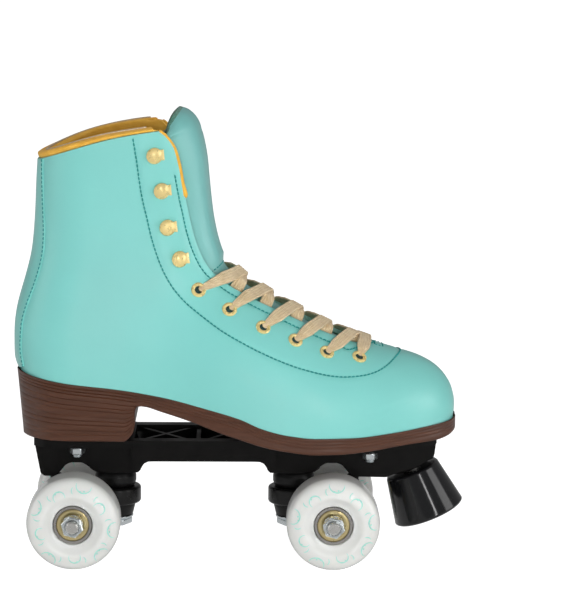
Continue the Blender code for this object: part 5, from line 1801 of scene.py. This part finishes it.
# ------------------------------------------------- sole bolts and toe stop
def sole_bolt(which, x, y, flange):
    """Bolt with a low domed head in the sole, and its nut under the flange."""
    head = interp(x, SOLE_LINE) - 3.5
    profile = [(0, head + 1.9), (2.4, head + 1.85), (3.8, head + 1.5), (5.0, head + 0.6),
               (5.1, head), (2.5, head), (2.5, flange - 4.4)]
    for k in range(3):                 # thread rings below the nut
        z = flange - 4.4 - 0.55 * k
        profile += [(2.5, z - 0.1), (2.25, z - 0.3), (2.5, z - 0.5)]
    profile += [(2.0, flange - 6.2), (0, flange - 6.2)]
    piece("sole_screw_%s" % which, turned(profile, (x, y, 0), UPRIGHT, 32), ZINC,
          replaces="sole_bolt_%s" % which)
    nut = [(3.3, flange - 0.4), (4.2, flange - 0.4), (4.6, flange - 0.8), (4.6, flange - 4.0),
           (4.2, flange - 4.4), (3.3, flange - 4.4)]
    piece("sole_hex_%s" % which, turned(nut, (x, y, 0), UPRIGHT, 6), ZINC,
          replaces="sole_nut_%s" % which, angle=30, bevel=0.3)


for word, x, flange in BOLTS:
    for side, hand in SIDES:
        sole_bolt("%s_%s" % (word, hand), x, side * BOLT_Y, flange)

# (radius, height along the stop's axis, corner radius)
STOP = [(5.6, 0.0, 0), (15.4, 0.0, 0.8), (16.3, -1.2, 2.0), (20.9, -STOP_LENGTH + 4.0, 3.0),
        (21.5, -STOP_LENGTH + 1.2, 1.2), (19.9, -STOP_LENGTH, 1.6), (0, -STOP_LENGTH, 0),
        (0, -16.0, 0), (5.6, -16.0, 0)]
piece("toe_stop_block", turned(fillet(STOP, 6), STOP_TOP - STOP_DIR * 1.2, STOP_DIR, 128),
      STOP_RUBBER, replaces="toe_stop", angle=45)
recoat("toe_stop_bolt", STEEL)


# ------------------------------------------------- stage, lights and camera
def floor_material():
    """Pale floor: part emission to the camera, and even to mirror-like rays."""
    floor = Material("floor_pale", (0.86, 0.86, 0.86), rough=0.9)
    floor.tint((0.855, 0.855, 0.855), (0.865, 0.865, 0.865), scale=3, detail=2)
    to_camera = floor.node("ShaderNodeEmission", Color=(1, 1, 1, 1), Strength=1.62)
    to_mirrors = floor.node("ShaderNodeEmission", Color=(1, 1, 1, 1), Strength=0.52)
    rays = floor.node("ShaderNodeLightPath")
    share = floor.node("ShaderNodeMath")
    share.operation = "MULTIPLY"
    share.inputs[1].default_value = 0.62          # how much of the camera's view is emission
    floor.link(rays.outputs["Is Camera Ray"], share.inputs[0])

    def mix(factor, first, second):
        node = floor.node("ShaderNodeMixShader")
        floor.link(factor, node.inputs["Fac"])
        floor.link(first, node.inputs[1])
        floor.link(second, node.inputs[2])
        return node.outputs[0]

    seen = mix(share.outputs[0], floor.shader.outputs[0], to_camera.outputs[0])
    seen = mix(rays.outputs["Is Glossy Ray"], seen, to_mirrors.outputs[0])
    output = [node for node in floor.tree.nodes if node.type == "OUTPUT_MATERIAL"][0]
    floor.link(seen, output.inputs["Surface"])
    return floor.mat


def floor(half=30.0, z=-0.0002):
    """Square floor; half its side and its height in metres."""
    mesh = bpy.data.meshes.new("floor")
    corners = [(-half, -half, z), (half, -half, z), (half, half, z), (-half, half, z)]
    mesh.from_pydata(corners, [], [(0, 1, 2, 3)])
    ob = bpy.data.objects.new("floor", mesh)
    bpy.context.scene.collection.objects.link(ob)
    mesh.materials.append(floor_material())


def studio():
    """White world whose strength depends on the kind of ray."""
    world_data = bpy.data.worlds.new("studio")
    bpy.context.scene.world = world_data
    world_data.use_nodes = True
    tree = world_data.node_tree
    background = tree.nodes["Background"]
    background.inputs["Color"].default_value = (1, 1, 1, 1)
    rays = tree.nodes.new("ShaderNodeLightPath")

    def switch(flag, strength):
        """Mix node that gives strength where the ray flag is set."""
        node = tree.nodes.new("ShaderNodeMix")
        node.data_type = "FLOAT"
        tree.links.new(rays.outputs[flag], node.inputs[0])
        node.inputs[3].default_value = strength
        return node

    glossy = switch("Is Glossy Ray", strength=0.26)
    glossy.inputs[2].default_value = 0.33         # strength for all other rays
    camera = switch("Is Camera Ray", strength=1.15)
    tree.links.new(glossy.outputs[0], camera.inputs[2])
    tree.links.new(camera.outputs[0], background.inputs["Strength"])


def area(name, at, target, size, size_y=None, power=1.0, glossy=True, spread=None):
    """Area light at a place in metres, turned to a target."""
    light = bpy.data.lights.new(name, "AREA")
    light.energy = power
    light.size = size
    if size_y:
        light.shape = "RECTANGLE"
        light.size_y = size_y
    if spread:
        light.spread = math.radians(spread)
    ob = bpy.data.objects.new(name, light)
    bpy.context.scene.collection.objects.link(ob)
    ob.location = at
    ob.rotation_euler = (Vector(target) - Vector(at)).to_track_quat("-Z", "Y").to_euler()
    ob.visible_glossy = glossy


def camera():
    data = bpy.data.cameras.new("photo_camera")
    data.sensor_width = 36.0
    data.lens = 157.0219
    data.clip_start = 0.05
    data.clip_end = 80.0
    ob = bpy.data.objects.new("photo_camera", data)
    bpy.context.scene.collection.objects.link(ob)
    right = Vector((0.99978589, -0.01904860, 0.00808258))
    up = Vector((-0.00509121, 0.15215059, 0.98834421))
    forward = Vector((0.02005635, 0.98817374, -0.15202103))
    matrix = Matrix((right, up, -forward)).transposed().to_4x4()
    matrix.translation = Vector((0.000496946, -1.507337, 0.383762))
    ob.matrix_world = matrix
    bpy.context.scene.camera = ob


floor()
studio()
area("key", at=(0.0, -2.0, 0.12), target=(0, 0, 0.11), size=1.0, size_y=0.6, power=19.3,
     glossy=False)
area("strip_right", at=(1.50, -0.60, 0.42), target=(0, 0, 0.15), size=0.85, size_y=1.0,
     power=7.0)
area("strip_front", at=(0.62, -1.80, 0.34), target=(0.05, 0, 0.10), size=0.16, size_y=0.9,
     power=4.2)
area("strip_left", at=(-1.5, -0.30, 0.45), target=(0, 0, 0.15), size=0.6, size_y=1.0,
     power=2.4)
area("low_fill", at=(-0.05, -1.3, 0.05), target=(0.0, 0, 0.10), size=0.3, size_y=0.2,
     power=0.085, glossy=False, spread=26)
area("top_back", at=(0.1, 1.0, 1.5), target=(0, 0, 0.15), size=0.9, power=3.0, glossy=False)
camera()
view = bpy.context.scene.view_settings
view.view_transform = "Standard"
view.look = "None"
view.exposure = 0.0
view.gamma = 1.0

for mesh in [mesh for mesh in bpy.data.meshes if mesh.users == 0]:
    bpy.data.meshes.remove(mesh)


bpy.context.view_layer.update()
